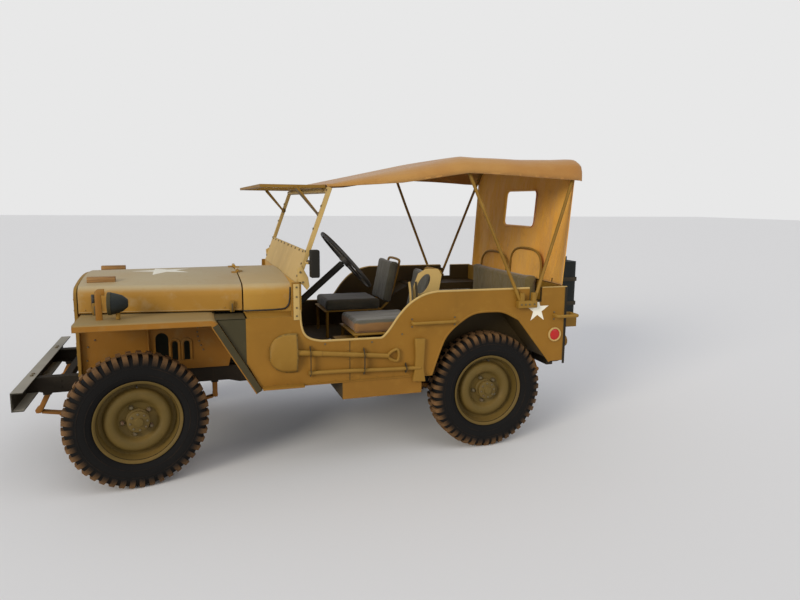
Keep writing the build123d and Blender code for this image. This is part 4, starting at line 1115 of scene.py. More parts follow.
class BeadPath(Shop):
    """Sweeps a round or flat bar along a path, such as a pipe, rolled edge or strap."""

    def __init__(self) -> None:
        """Builds the tree."""
        super().__init__("bead_path", Width="Float", Height="Float", Sides="Int")
        given = self.given
        line = self.node("GeometryNodeMeshToCurve", {}, 0, Mesh=given["Geometry"])
        ring = self.node("GeometryNodeCurvePrimitiveCircle", {}, 0, Resolution=given["Sides"], Radius=0.5)
        size = self.node("ShaderNodeCombineXYZ", {}, 0, X=given["Width"], Y=given["Height"], Z=1.0)
        section = self.node("GeometryNodeTransform", {}, 0, Geometry=ring, Scale=size)
        self.close(self.node("GeometryNodeCurveToMesh", {}, 0, Curve=line, Profile_Curve=section, Fill_Caps=True))

    def run(self, name: str, points: Sequence[Sequence[float]], width: float, stuff: Stuff,
            height: float | None = None, sides: int = 10, closed: bool = False, rounds: int = 0) -> Piece:
        """Makes one bar.

        Args:
            name: The piece's name.
            points: The path.
            width: Width of the bar.
            stuff: The finish.
            height: Its height if it isn't round.
            sides: Sides of the section.
            closed: True for a closed ring.
            rounds: Times that the path's corners are cut round.

        Returns:
            The bar.
        """
        path = [Vector(p) for p in points]
        for _ in range(rounds):
            cut = [] if closed else [path[0]]
            for a, b in zip(path, path[1:] + (path[:1] if closed else [])):
                cut += [a.lerp(b, 0.25), a.lerp(b, 0.75)]
            path = cut if closed else cut + [path[-1]]
        edges = [(n, n + 1) for n in range(len(path) - 1)] + ([(len(path) - 1, 0)] if closed else [])
        mesh = bpy.data.meshes.new(name + "_path")
        mesh.from_pydata([tuple(p) for p in path], edges, [])
        return self.bake(name, mesh, stuff, Width=width, Height=height or width, Sides=sides)


class BoltField(Shop):
    """Sets small bolt heads on points, each along its own direction."""

    def __init__(self) -> None:
        """Builds the tree."""
        super().__init__("bolt_field", Radius="Float", Height="Float", Sides="Int")
        given = self.given
        facing = self.node("GeometryNodeInputNamedAttribute", {"data_type": "FLOAT_VECTOR"}, "Attribute", Name="facing")
        turn = self.node("FunctionNodeAlignRotationToVector", {"axis": "Z"}, 0, Vector=facing)
        points = self.node("GeometryNodeMeshToPoints", {"mode": "VERTICES"}, 0, Mesh=given["Geometry"])
        head = self.node("GeometryNodeMeshCone", {"fill_type": "NGON"}, 0, Vertices=given["Sides"],
            Radius_Bottom=given["Radius"], Radius_Top=self.math("MULTIPLY", given["Radius"], 0.8),
            Depth=given["Height"])
        self.close(self.node("GeometryNodeInstanceOnPoints", {}, 0, Points=points, Instance=head, Rotation=turn))

    def heads(self, name: str, places: Sequence[tuple[Sequence[float], Sequence[float]]], radius: float,
            height: float, stuff: Stuff, sides: int = 6) -> Piece:
        """Makes a set of heads.

        Args:
            name: The piece's name.
            places: Pairs of a point and the direction that its head faces.
            radius: Radius of a head.
            height: Its height.
            stuff: The finish.
            sides: Six for a nut, twelve or more for a rivet.

        Returns:
            The heads as one piece.
        """
        mesh = bpy.data.meshes.new(name + "_points")
        mesh.from_pydata([tuple(p) for p, _ in places], [], [])
        facing = mesh.attributes.new("facing", "FLOAT_VECTOR", "POINT")
        for number, (_, way) in enumerate(places):
            facing.data[number].vector = Vector(way).normalized()
        return self.bake(name, mesh, stuff, 0.5, Radius=radius, Height=height, Sides=sides)


def eased(points: Flat, steps: int = 6) -> list[tuple[float, float]]:
    """Draws a smooth line through points of a plane, and straight on to the last.

    Args:
        points: The points.
        steps: Pieces between each pair.

    Returns:
        The smooth line's points.
    """
    path = [Vector(p) for p in points[:-1]]
    path = [path[0] * 2 - path[1], *path, path[-1] * 2 - path[-2]]
    out = []
    for a, b, c, d in zip(path, path[1:], path[2:], path[3:]):
        for number in range(steps):
            t = number / steps
            out.append(tuple(0.5 * (2 * b + (c - a) * t + (2 * a - 5 * b + 4 * c - d) * t ** 2 +
                (3 * b - a - 3 * c + d) * t ** 3)))
    return [*out, tuple(path[-2]), points[-1]]


@dataclass
class Works:
    """The three node trees that the sub-assemblies share."""

    rings: RingRepeat = field(default_factory=RingRepeat)
    beads: BeadPath = field(default_factory=BeadPath)
    bolts: BoltField = field(default_factory=BoltField)


def report(piece: Piece, body: str = "chassis") -> Piece:
    """Fastens a piece to a body and logs it.

    Args:
        piece: The finished piece.
        body: The body that it moves with.

    Returns:
        The same piece.
    """
    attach(piece, body)
    LOG.info("%s rides on %s: %d faces", piece.name, body, len(piece.data.polygons))
    return piece


@dataclass
class Assembly:
    """A sub-assembly: the works that it uses and the pieces made so far."""

    works: Works
    made: list[Piece] = field(default_factory=list, init=False)

    def add(self, piece: Piece) -> Piece:
        """Keeps a piece."""
        self.made.append(piece)
        return piece

    def bar(self, *sizes: Any, **more: Any) -> Piece:
        """Adds a bar; BeadPath.run says what it takes."""
        return self.add(self.works.beads.run(*sizes, **more))

    def heads(self, *sizes: Any) -> Piece:
        """Adds bolt heads; BoltField.heads says what it takes."""
        return self.add(self.works.bolts.heads(*sizes))

    def ring(self, *sizes: Any) -> Piece:
        """Adds a ring of copies; RingRepeat.ring says what it takes."""
        return self.add(self.works.rings.ring(*sizes))

    def turned(self, *sizes: Any) -> Piece:
        """Adds a turned piece; Mould.lathe says what it takes."""
        return self.add(Mould.lathe(*sizes))

    def plate(self, *sizes: Any) -> Piece:
        """Adds a plate; Mould.plate says what it takes."""
        return self.add(Mould.plate(*sizes))

    def block(self, *sizes: Any) -> Piece:
        """Adds a block; Mould.block says what it takes."""
        return self.add(Mould.block(*sizes))

    def fasten(self, body: str = "chassis", node: str | None = None) -> None:
        """Fastens every piece made.

        Args:
            body: The body that they move with.
            node: The solid that they all stand for, if one.
        """
        for piece in self.made:
            if node is not None:
                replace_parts(piece, node)
            report(piece, body)


@dataclass
class RoadWheel(Assembly):
    """One wheel: a lugged tyre over its rim, with nuts, hub cap and valve."""

    label: str
    body: str
    centre: Point
    outward: Point
    tyre_node: str
    hub: bool = True
    lugs: int = 44
    lug_half: float = 0.0125
    crown: float = 0.3505
    tyre_half: Flat = ((0.056, 0.2036), (0.0575, 0.224), (0.066, 0.233), (0.0745, 0.248), (0.0778, 0.262),
        (0.079, 0.28), (0.078, 0.3), (0.0735, 0.318), (0.068, 0.333), (0.06, 0.345), (0.04, 0.349))
    lug_outline: Flat = ((0.003, 0.345), (0.003, 0.36), (0.02, 0.3608), (0.052, 0.36), (0.0625, 0.356),
        (0.072, 0.343), (0.0775, 0.326), (0.0795, 0.309), (0.077, 0.303), (0.07, 0.318), (0.062, 0.336),
        (0.05, 0.343))
    rim_outline: Flat = ((0.063, 0.2225), (0.0664, 0.2212), (0.0668, 0.218), (0.0652, 0.214), (0.0618, 0.2095),
        (0.0585, 0.206), (0.054, 0.204), (0.048, 0.203), (0.02, 0.199), (0.004, 0.1965), (-0.002, 0.192),
        (-0.003, 0.18), (0.002, 0.1722), (0.02, 0.168), (0.032, 0.161), (0.0385, 0.15), (0.04, 0.137), (0.037, 0.122),
        (0.028, 0.11), (0.012, 0.102), (0.005, 0.097), (0.003, 0.09), (0.003, 0.038), (-0.003, 0.038),
        (-0.003, 0.096), (0.008, 0.106), (0.024, 0.115), (0.032, 0.128), (0.034, 0.14), (0.032, 0.153),
        (0.024, 0.1605), (0.002, 0.1665), (-0.009, 0.172), (-0.01, 0.193), (-0.056, 0.199), (-0.062, 0.207),
        (-0.066, 0.22), (-0.063, 0.2225), (-0.06, 0.221), (-0.0565, 0.2046), (0.0565, 0.2062), (0.06, 0.221))

    @property
    def seat(self) -> Matrix:
        """The axle's frame, X outward."""
        return seat_on(self.centre, self.outward)

    def lug(self, side: int) -> Piece:
        """One lug as a template, tapered to its tip.

        Args:
            side: 1 for the outer half of the tread, -1 for the inner.

        Returns:
            The template object in the axle's frame.
        """
        verts: list[Point] = []
        for way in (-1, 1):
            for along, radius in self.lug_outline:
                tip = (radius - 0.318) / 0.043
                half = self.lug_half * (1.12 - 0.16 * max(0.0, tip))
                verts.append((along * side, way * half, radius))
        count = len(self.lug_outline)
        faces = [tuple(range(count)), tuple(range(2 * count - 1, count - 1, -1))]
        faces += [(n, (n + 1) % count, (n + 1) % count + count, n + count) for n in range(count)]
        return Mould.piece(f"{self.label}_lug", verts, faces, Stuff.TYRE, 0.5)

    def tyre(self) -> Piece:
        """Makes the tyre with both rows of lugs and its dust attribute, which also paints sunlight on the lugs.

        Returns:
            The tyre.
        """
        inner = [(-x, r) for x, r in self.tyre_half]
        outline = [inner[0], *self.tyre_half, (0.0, self.crown), *inner[:0:-1]]
        rows = [Mould.lathe(f"{self.label}_carcass", outline, self.seat, Stuff.TYRE, 96, 0.9)]
        plain = len(rows[0].data.vertices)
        for side, start in ((1, 0.0), (-1, math.pi / self.lugs)):
            ring = self.works.rings.ring
            rows.append(ring(f"{self.label}_row", self.lug(side), self.lugs, self.seat, Stuff.TYRE, start))
        tyre = Mould.join(f"{self.label}_tyre", rows)
        inverse = self.seat.inverted()
        dust = tyre.data.attributes.new("dust", "FLOAT", "POINT")
        for number, vertex in enumerate(tyre.data.vertices):
            local = inverse @ vertex.co
            height = max(0.0, min(1.0, (math.hypot(local.y, local.z) - 0.3) / 0.055))
            # Lugs carry far more of it than the carcass: road dust, and painted sunlight on the lugs over shaded gaps.
            dust.data[number].value = 0.04 + 0.1 * height if number < plain else 0.25 + 0.7 * height
        tyre.data.materials.clear()
        tyre.data.materials.append(Stuff.TYRE.material())
        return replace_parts(tyre, self.tyre_node)

    def ribs(self) -> Piece:
        """Makes two raised rings on the tyre's outer wall.

        Returns:
            The ribs as one piece.
        """
        rings = []
        for x, r in ((0.0768, 0.256), (0.0786, 0.295)):
            outline = [(x - 0.002, r - 0.003), (x + 0.0012, r - 0.0015), (x + 0.0012, r + 0.0015),
                (x - 0.002, r + 0.003)]
            rings.append(Mould.lathe(f"{self.label}_rib", outline, self.seat, Stuff.TYRE, 96))
        made = Mould.join(f"{self.label}_wall_ribs", rings)
        for item in made.data.attributes.new("dust", "FLOAT", "POINT").data:
            item.value = 0.35
        return made

    def rim(self) -> None:
        """Adds the rim with its deep well and dished disc, and the drum behind a road wheel."""
        rim = self.turned(f"{self.label}_rim", self.rim_outline, self.seat, Stuff.WHEEL, 96, 0.7)
        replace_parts(rim, self.tyre_node.replace("tyre", "rim"))
        if self.hub:
            drum = [(-0.056, 0.0), (-0.056, 0.115), (-0.053, 0.1195), (-0.02, 0.1195), (-0.015, 0.115),
                (-0.013, 0.06), (0.004, 0.056), (0.004, 0.0)]
            self.turned(f"{self.label}_drum", drum, self.seat, Stuff.CHASSIS, 64)

    def hub_parts(self) -> None:
        """Adds the wheel nuts, hub flange with its bolts, cap and valve."""
        seat, label = self.seat, self.label
        nut = Mould.lathe("nut", [(0.0, 0.0), (0.0, 0.013), (0.012, 0.0125), (0.019, 0.008), (0.02, 0.0)],
            Matrix.Translation((0.003, 0.0, 0.076)), Stuff.BOLT, 6, 0.4)
        self.ring(f"{label}_nuts", nut, 5, seat, Stuff.BOLT, 0.4)
        if not self.hub:
            return
        flange = [(0.003, 0.0), (0.0695, 0.0), (0.07, 0.013), (0.068, 0.022), (0.058, 0.025), (0.056, 0.034),
            (0.0545, 0.052), (0.0515, 0.056), (0.043, 0.0565), (0.04, 0.051), (0.016, 0.051), (0.012, 0.059),
            (0.003, 0.061)]
        self.turned(f"{label}_hub_cap", flange, seat, Stuff.WHEEL, 48)
        bolt = Mould.lathe("bolt", [(0.0, 0.0), (0.005, 0.0), (0.0058, 0.003), (0.0048, 0.0058), (0.0, 0.0058)],
            Matrix.Translation((0.0545, 0.0, 0.043)), Stuff.BOLT, 6, 0.4)
        self.ring(f"{label}_hub_bolts", bolt, 8, seat, Stuff.BOLT, 0.1)
        valve = [seat @ Vector(p) for p in ((0.026, 0.0, 0.188), (0.045, 0.0, 0.186), (0.062, 0.0, 0.19))]
        self.bar(f"{label}_valve", valve, 0.007, Stuff.RUBBER, sides=8)

    def build(self) -> None:
        """Builds and fastens every piece of the wheel."""
        self.add(self.tyre())
        self.add(self.ribs())
        self.rim()
        self.hub_parts()
        self.fasten(self.body)


@dataclass
class CanvasTop(Assembly):
    """The roof sheet over the bows and the rear curtain with its window."""

    stations: tuple[tuple[float, ...], ...] = (
        # x, half width, hem z, edge z, shoulder y, shoulder z, crown z
        (0.092, 0.69, 1.5895, 1.597, 0.64, 1.601, 1.603),
        (0.03, 0.693, 1.592, 1.607, 0.64, 1.616, 1.619),
        (-0.33, 0.705, 1.616, 1.664, 0.64, 1.692, 1.701),
        (-0.69, 0.7115, 1.674, 1.734, 0.632, 1.7715, 1.777),
        (-0.735, 0.712, 1.68, 1.74, 0.63, 1.78, 1.7845),
        (-0.82, 0.71, 1.678, 1.738, 0.63, 1.7765, 1.7815),
        (-1.1, 0.708, 1.669, 1.735, 0.63, 1.7745, 1.78),
        (-1.35, 0.711, 1.656, 1.74, 0.63, 1.779, 1.7835),
        (-1.45, 0.712, 1.652, 1.747, 0.632, 1.785, 1.787),
        (-1.476, 0.7095, 1.651, 1.748, 0.63, 1.785, 1.7868),
        (-1.489, 0.7065, 1.65, 1.743, 0.624, 1.777, 1.781),
        (-1.493, 0.7045, 1.649, 1.733, 0.618, 1.759, 1.765),
        (-1.486, 0.703, 1.648, 1.7, 0.614, 1.71, 1.714),
    )
    lines: int = 56
    thick: float = 0.0018
    curtain_low: float = 1.002
    curtain_high: float = 1.766
    curtain_half: float = 0.69
    curtain_x: float = -1.4245
    curtain_cells: tuple[int, int] = (44, 64)
    lean: float = 0.081
    window: tuple[float, float, float, float] = (-0.218, 0.218, 1.348, 1.601)
    window_corner: float = 0.04

    def section(self, half: float, hem: float, edge: float, shoulder_y: float, shoulder: float,
            crown: float) -> list[tuple[float, float]]:
        """One cross line of the roof from hem to hem.

        Args:
            half: Half width.
            hem: Height of the hem.
            edge: Height of the folded edge.
            shoulder_y: Where the roof meets the bow's rounded corner.
            shoulder: Its height there.
            crown: Height in the middle.

        Returns:
            Points (y, z) evenly spaced along the line.
        """
        raw = [(half + 0.001, hem), (half, edge - 0.35 * (edge - hem)), (half - 0.01, edge), (shoulder_y, shoulder),
            (shoulder_y * 0.6, shoulder + 0.75 * (crown - shoulder)), (0.0, crown)]
        full = raw + [(-y, z) for y, z in raw[-2::-1]]

        def between(a: tuple[float, float], b: tuple[float, float], t: float) -> tuple[float, float]:
            """The point a share of the way from a to b."""
            return (a[0] + (b[0] - a[0]) * t, a[1] + (b[1] - a[1]) * t)

        for _ in range(3):
            cut = [between(a, b, t) for a, b in zip(full, full[1:]) for t in (0.2, 0.8)]
            full = [full[0], *cut, full[-1]]
        lengths = [0.0]
        for a, b in zip(full, full[1:]):
            lengths.append(lengths[-1] + math.dist(a, b))
        out = []
        place = 0
        for number in range(self.lines + 1):
            goal = lengths[-1] * number / self.lines
            while place < len(full) - 2 and lengths[place + 1] < goal:
                place += 1
            part = (goal - lengths[place]) / max(1e-9, lengths[place + 1] - lengths[place])
            out.append(between(full[place], full[place + 1], part))
        return out

    def roof(self) -> Piece:
        """Makes the roof sheet with its hanging hems.

        Returns:
            The sheet.
        """
        rng = random.Random(7)
        fine = []
        for a, b in zip(self.stations, self.stations[1:]):
            steps = max(1, round(abs(a[0] - b[0]) / 0.035))
            fine += [tuple(p + (q - p) * s / steps for p, q in zip(a, b)) for s in range(steps)]
        fine.append(self.stations[-1])
        waves = [(rng.uniform(4, 9), rng.uniform(2, 6), rng.uniform(0, 6.28), rng.uniform(0.3, 1.0)) for _ in range(7)]
        rows: list[list[Vector]] = []
        for x, *shape in fine:
            row = []
            free = max(0.0, 1 - abs(x + 1.1) / 0.34) + max(0.0, 1 - abs(x + 0.32) / 0.36)
            for number, (y, z) in enumerate(self.section(*shape)):
                side = abs(number / self.lines - 0.5) * 2
                ripple = sum(k * math.sin(a * x * 2 + b * y + c) for a, b, c, k in waves) * 0.001
                flap = max(0.0, side - 0.88) * 8.0
                hang = flap * 0.0035 * (math.sin(x * 31 + y * 2) + 0.6 * math.sin(x * 13 + 1.0))
                row.append(Vector((x, y + math.copysign(hang, y), z + ripple * free - free * 0.003 * (1 - side))))
            rows.append(row)
        return self.cloth("roof_canvas", rows, Stuff.ROOF)

    def cloth(self, name: str, rows: list[list[Vector]], stuff: Stuff,
            keep: Callable[[int, int], bool] | None = None) -> Piece:
        """Makes a sheet from rows of points, with a UV map in metres.

        Args:
            name: The sheet's name.
            rows: Rows of points.
            stuff: The finish.
            keep: Tells whether the face at a row and column stays.

        Returns:
            The sheet with its thickness.
        """
        columns = len(rows[0])
        mesh = bpy.data.meshes.new(name)
        faces = [face for face in Mould.net(len(rows), columns) if keep is None or keep(*divmod(face[0], columns))]
        mesh.from_pydata([tuple(v) for row in rows for v in row], [], faces)
        far, wide = [0.0], [0.0]
        for low, high in zip(rows, rows[1:]):
            far.append(far[-1] + (high[columns // 2] - low[columns // 2]).length)
        for left, right in zip(rows[len(rows) // 2], rows[len(rows) // 2][1:]):
            wide.append(wide[-1] + (right - left).length)
        layer = mesh.uv_layers.new(name="cloth")
        for loop in mesh.loops:
            r, c = divmod(loop.vertex_index, columns)
            layer.data[loop.index].uv = (far[r], wide[c])
        work = bmesh.new()
        work.from_mesh(mesh)
        bmesh.ops.delete(work, geom=[v for v in work.verts if not v.link_faces], context="VERTS")
        bmesh.ops.recalc_face_normals(work, faces=work.faces)
        work.to_mesh(mesh)
        work.free()
        LOG.info("%s cloth %.3f by %.3f m", name, far[-1], wide[-1])
        return Mould.thicken(Mould.wrap(name, mesh, stuff, 1.2), self.thick)

    def curtain(self) -> Piece:
        """Makes the rear curtain with its window cut out.

        Returns:
            The sheet.
        """
        lines, columns = self.curtain_cells
        rows = []
        for r in range(lines + 1):
            t = r / lines
            z = self.curtain_low + (self.curtain_high - self.curtain_low) * t
            half = self.curtain_half - max(0.0, t - 0.93) * 0.75
            row = []
            for c in range(columns + 1):
                u = c / columns * 2 - 1
                y = u * (half - (0.045 * (1 - t) if u < 0 else 0.0))
                x = self.curtain_x - self.lean * (z - self.curtain_low)
                fold = 0.006 * math.sin(u * 9 + 1.5 * t) * (1 - t * 0.5) + 0.004 * math.sin(u * 23 - 3 * t)
                wrap = max(0.0, abs(u) - 0.93) * 0.35
                row.append(Vector((x + fold * 0.6 + wrap, y, z)))
            rows.append(row)

        def keep(r: int, c: int) -> bool:
            """True where the face is outside the window."""
            middle = (rows[r][c] + rows[r + 1][c + 1]) / 2
            return self.from_window(middle.y, middle.z)[0] > 0.0

        cell = 2 * self.curtain_half / columns
        for r in range(1, lines):
            for c in range(1, columns):
                point = rows[r][c]
                away, out_y, out_z = self.from_window(point.y, point.z)
                near = [keep(r - i, c - j) for i in (0, 1) for j in (0, 1)]
                if abs(away) < cell and any(near) and not all(near):
                    point.y -= away * out_y
                    point.z -= away * out_z
        return self.cloth("rear_curtain", rows, Stuff.CURTAIN, keep)

    def from_window(self, y: float, z: float) -> tuple[float, float, float]:
        """Measures a curtain point from the window's rounded outline.

        Args:
            y: The point's place across the car.
            z: Its height.

        Returns:
            Its distance outside the outline, and the direction (y, z) of that.
        """
        left, right, bottom, top = self.window
        r = self.window_corner
        dy = y - max(left + r, min(right - r, y))
        dz = z - max(bottom + r, min(top - r, z))
        length = math.hypot(dy, dz)
        if length > 1e-6:
            return (length - r, dy / length, dz / length)
        return max((y - right, 1.0, 0.0), (left - y, -1.0, 0.0), (z - top, 0.0, 1.0), (bottom - z, 0.0, -1.0))

    def trim(self) -> None:
        """Adds the roof's hems and the window's border."""
        for number, way in enumerate((-1, 1)):
            hem = [(x, way * (half + 0.0015), low + 0.006) for x, half, low, *_ in self.stations]
            self.bar(f"roof_hem_{number}", hem, 0.003, Stuff.ROOF, 0.012, 8, rounds=2)
        left, right, bottom, top = self.window
        ring = []
        for cy, cz, start in ((right, top, 0), (left, top, 1), (left, bottom, 2), (right, bottom, 3)):
            r = self.window_corner
            for step in range(7):
                angle = math.pi / 2 * (start + step / 6)
                y = cy - math.copysign(r, cy) + r * math.cos(angle)
                z = cz + (r if cz == bottom else -r) + r * math.sin(angle)
                ring.append((self.curtain_x - self.lean * (z - self.curtain_low), y, z))
        self.bar("window_border", ring, 0.005, Stuff.CURTAIN, 0.02, 8, closed=True)

    def build(self) -> None:
        """Builds the roof, the curtain and their trim."""
        roof, curtain = self.roof(), self.curtain()
        for sheet in (roof, curtain):
            report(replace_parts(sheet, "canvas_top"))
        self.trim()
        self.fasten()
        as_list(self.made[:2])
        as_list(self.made[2:])


@dataclass
class Seats(Assembly):
    """Front and rear cushions and backs, puffed by cloth simulation."""

    front: Point = (-0.2865, 0.406, 0.7816)
    front_size: Point = (0.417, 0.368, 0.0768)
    back_low: Point = (-0.537, 0.0, 0.782)
    back_high: Point = (-0.602, 0.0, 1.092)
    back_y: float = 0.3975
    back_size: Point = (0.315, 0.35, 0.058)
    voxel: float = 0.008
    frames: int = 14

    def cushion(self, name: str, seat: Matrix, size: Point, swell: float = 0.01, stuff: Stuff = Stuff.SEAT) -> Piece:
        """One cushion as a crowned closed form.

        Args:
            name: The cushion's name.
            seat: Frame of its middle, Z through its thickness.
            size: Length, width and thickness.
            swell: Cap on how far a point may move.
            stuff: Its canvas.

        Returns:
            The cushion.
        """
        half = [max(0.004, s / 2 - swell * 0.35) for s in size]
        piece = self.block(name, [-h for h in half], half, stuff, min(half) * 0.55, 4)
        self.puff(piece, swell)
        for vertex in piece.data.vertices:
            for axis, full in enumerate(size):
                vertex.co[axis] = max(-full / 2, min(full / 2, vertex.co[axis]))
        piece.data.transform(seat)
        piece.data.polygons.foreach_set("use_smooth", [True] * len(piece.data.polygons))
        return piece

    @staticmethod
    def flatten(piece: Piece) -> None:
        """Applies a piece's modifiers to its mesh.

        Args:
            piece: The piece.
        """
        mesh = Mould.baked(piece)
        piece.modifiers.clear()
        piece.data = mesh

    def puff(self, piece: Piece, swell: float) -> None:
        """Swells a piece with the cloth solver.

        Args:
            piece: The piece.
            swell: Cap on how far a point may move.
        """
        remesh = piece.modifiers.new("remesh", "REMESH")
        remesh.mode = "VOXEL"
        remesh.voxel_size = self.voxel
        self.flatten(piece)
        start = [v.co.copy() for v in piece.data.vertices]
        cloth = piece.modifiers.new("cloth", "CLOTH")
        cloth.settings.quality = 4
        cloth.settings.use_pressure = True
        cloth.settings.uniform_pressure_force = 4.0
        cloth.settings.effector_weights.gravity = 0.0
        cloth.settings.tension_stiffness = 20
        cloth.point_cache.frame_start = 1
        cloth.point_cache.frame_end = self.frames
        scene = bpy.context.scene
        for number in range(self.frames):
            scene.frame_set(number + 1)
        self.flatten(piece)
        scene.frame_set(1)
        for vertex, old in zip(piece.data.vertices, start):
            move = vertex.co - old
            if move.length > swell:
                vertex.co = old + move.normalized() * swell

    def build(self) -> None:
        """Builds every cushion."""
        low, high = Vector(self.back_low), Vector(self.back_high)
        x, y, z = self.front
        for side, label, stuff in ((1, "driver", Stuff.NEAR_SEAT), (-1, "passenger", Stuff.SEAT)):
            self.cushion(f"{label}_cushion", Matrix.Translation((x, side * y, z)), self.front_size, stuff=stuff)
            middle = (low + high) / 2 + Vector((0.0, side * self.back_y, 0.0))
            self.cushion(f"{label}_back", seat_on(middle, high - low, (1.0, 0.0, 0.0)), self.back_size)
        for name, middle, size in (("rear_cushion", (-1.1, 0.0, 0.7975), (0.388, 0.878, 0.094)),
                ("rear_back", (-1.34, 0.0, 0.8975), (0.078, 0.878, 0.293))):
            self.cushion(name, Matrix.Translation(middle), size, 0.012, Stuff.REAR_SEAT)
        self.fasten(node="seat_cushions")
        for piece in self.made:
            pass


@dataclass
class ToolRack(Assembly):
    """Shovel and axe strapped on the left side."""

    face_y: float = 0.73
    rest_y: float = 0.745
    cells: int = 12

    def blade(self) -> Piece:
        """Makes the dished shovel blade.

        Returns:
            The blade.
        """
        verts = []
        for r in range(self.cells + 1):
            t = r / self.cells
            half = 0.109 * math.sqrt(max(0.02, 1 - max(0.0, (t - 0.25) / 0.78) ** 2.4))
            for c in range(self.cells + 1):
                u = c / self.cells * 2 - 1
                dish = (1 - u * u) * 0.03 * (1 - 0.45 * t) + 0.004
                verts.append((0.274 + 0.15 * t, self.face_y + 0.002 + dish, 0.693 + u * half))
        net = Mould.net(self.cells + 1, self.cells + 1)
        return Mould.thicken(Mould.piece("shovel_blade", verts, net, Stuff.PAINT, 1.2), 0.0025)

    def build(self) -> None:
        """Builds the tools and their straps."""
        self.add(self.blade())
        y = self.rest_y
        socket = [(0.33, y + 0.001, 0.696), (0.24, y, 0.69), (0.14, y, 0.68)]
        self.bar("shovel_socket", socket, 0.031, Stuff.PAINT, sides=14)
        self.bar("shovel_shaft", [(0.15, y, 0.681), (-0.245, y, 0.641)], 0.027, Stuff.PAINT, sides=14)
        grip = [(x, y + 0.001, z) for x, z in ((-0.236, 0.641), (-0.262, 0.668), (-0.306, 0.684), (-0.306, 0.604),
            (-0.262, 0.616))]
        self.bar("shovel_grip", grip, 0.016, Stuff.PAINT, closed=True, rounds=2)
        shaft = [(x, y, z) for x, z in ((0.215, 0.576), (0.0, 0.572), (-0.25, 0.562), (-0.44, 0.558))]
        self.bar("axe_shaft", shaft, 0.03, Stuff.PAINT, 0.022, 14)
        head = [(0.392, 0.48), (0.47, 0.474), (0.458, 0.56), (0.462, 0.64), (0.466, 0.73), (0.402, 0.733),
            (0.408, 0.64), (0.405, 0.56)]
        seat = standing((0.0, self.face_y + 0.001, 0.0), (-1.0, 0.0, 0.0), (0.0, 0.0, 1.0))
        self.plate("axe_head", head, seat, 0.024, Stuff.PAINT, 0.005, 3)
        for place, low, high in ((0.205, 0.56, 0.72), (-0.1, 0.548, 0.69), (-0.35, 0.54, 0.585)):
            strap = [(place, self.face_y + off, z) for off, z in ((0.001, high), (0.031, high - 0.02),
                (0.033, low + 0.02), (0.001, low))]
            name = f"tool_strap_{abs(place):.2f}".replace(".", "_")
            self.bar(name, strap, 0.003, Stuff.WEBBING, 0.025, 8, rounds=2)
        self.fasten(node="pioneer_tools")


@dataclass
class Lamps(Assembly):
    """Headlights, marker lamps, driving lamp, rear lamps and reflectors."""

    driving: Point = (1.21, 0.62, 0.984)

    def lamp(self, name: str, origin: Point, facing: Point, radius: float, stuff: Stuff, back: float,
            shell_stuff: Stuff = Stuff.PAINT, rim: float = 0.885) -> None:
        """Adds a round lamp with its shell and lens.

        Args:
            name: The lamp's name.
            origin: Middle of the lens's edge plane.
            facing: Direction of its light.
            radius: Outer radius.
            stuff: Finish of the lens.
            back: How far the shell goes back.
            shell_stuff: Finish of the shell.
            rim: Share of the radius that the lens fills.
        """
        seat, inner = seat_on(origin, facing), radius * rim
        shell = [(-back, 0.0), (-back, radius * 0.35), (-back * 0.72, radius * 0.72), (-back * 0.25, radius * 0.95),
            (-0.004, radius), (0.004, radius), (0.0065, radius * 0.97), (0.0055, radius * (rim + 0.02)),
            (0.001, inner), (-0.004, inner * 0.98), (-0.004, 0.0)]
        lens = [(-0.002, 0.0), (-0.002, inner), (0.001, inner), (0.0045, inner * 0.7), (0.0065, inner * 0.35),
            (0.007, 0.0)]
        self.turned(f"{name}_shell", shell, seat, shell_stuff, 40)
        self.turned(f"{name}_lens", lens, seat, stuff, 40)

    def build(self) -> None:
        """Builds the lamps."""
        ahead, behind = (1, 0, 0), (-1, 0, 0)
        for side, tag in SIDES[::-1]:
            self.lamp(f"headlight_{tag}", (1.393, side * 0.305, 0.885), ahead, 0.0795, Stuff.LENS, 0.058)
            self.lamp(f"marker_{tag}", (1.41, side * 0.33, 0.715), ahead, 0.0295, Stuff.LENS, 0.05)
            self.lamp(f"rear_lamp_{tag}", (-1.456, side * 0.65, 0.64), behind, 0.0375, Stuff.RED, 0.04)
            self.lamp(f"rear_reflector_{tag}", (-1.423, side * 0.56, 0.6), behind, 0.04, Stuff.RED, 0.0065, rim=0.82)
            self.lamp(f"side_reflector_{tag}", (-1.335, side * 0.734, 0.703), (0, side, 0), 0.044, Stuff.RED, 0.004,
                Stuff.SHIELD, 0.78)
        # The driving lamp's shell takes the near-black can paint and its rim the dark olive: painted shade.
        self.lamp("driving_lamp", self.driving, ahead, 0.0575, Stuff.LENS, 0.088, Stuff.CAN)
        rim = [(-0.01, 0.0585), (0.005, 0.059), (0.008, 0.056), (0.008, 0.053), (-0.01, 0.0545)]
        self.turned("driving_lamp_rim", rim, seat_on(self.driving, ahead), Stuff.OLIVE, 48)
        self.bar("driving_lamp_foot", [(1.172, 0.62, 0.902), (1.172, 0.62, 0.936)], 0.022, Stuff.PAINT)
        self.fasten(node="lamps")


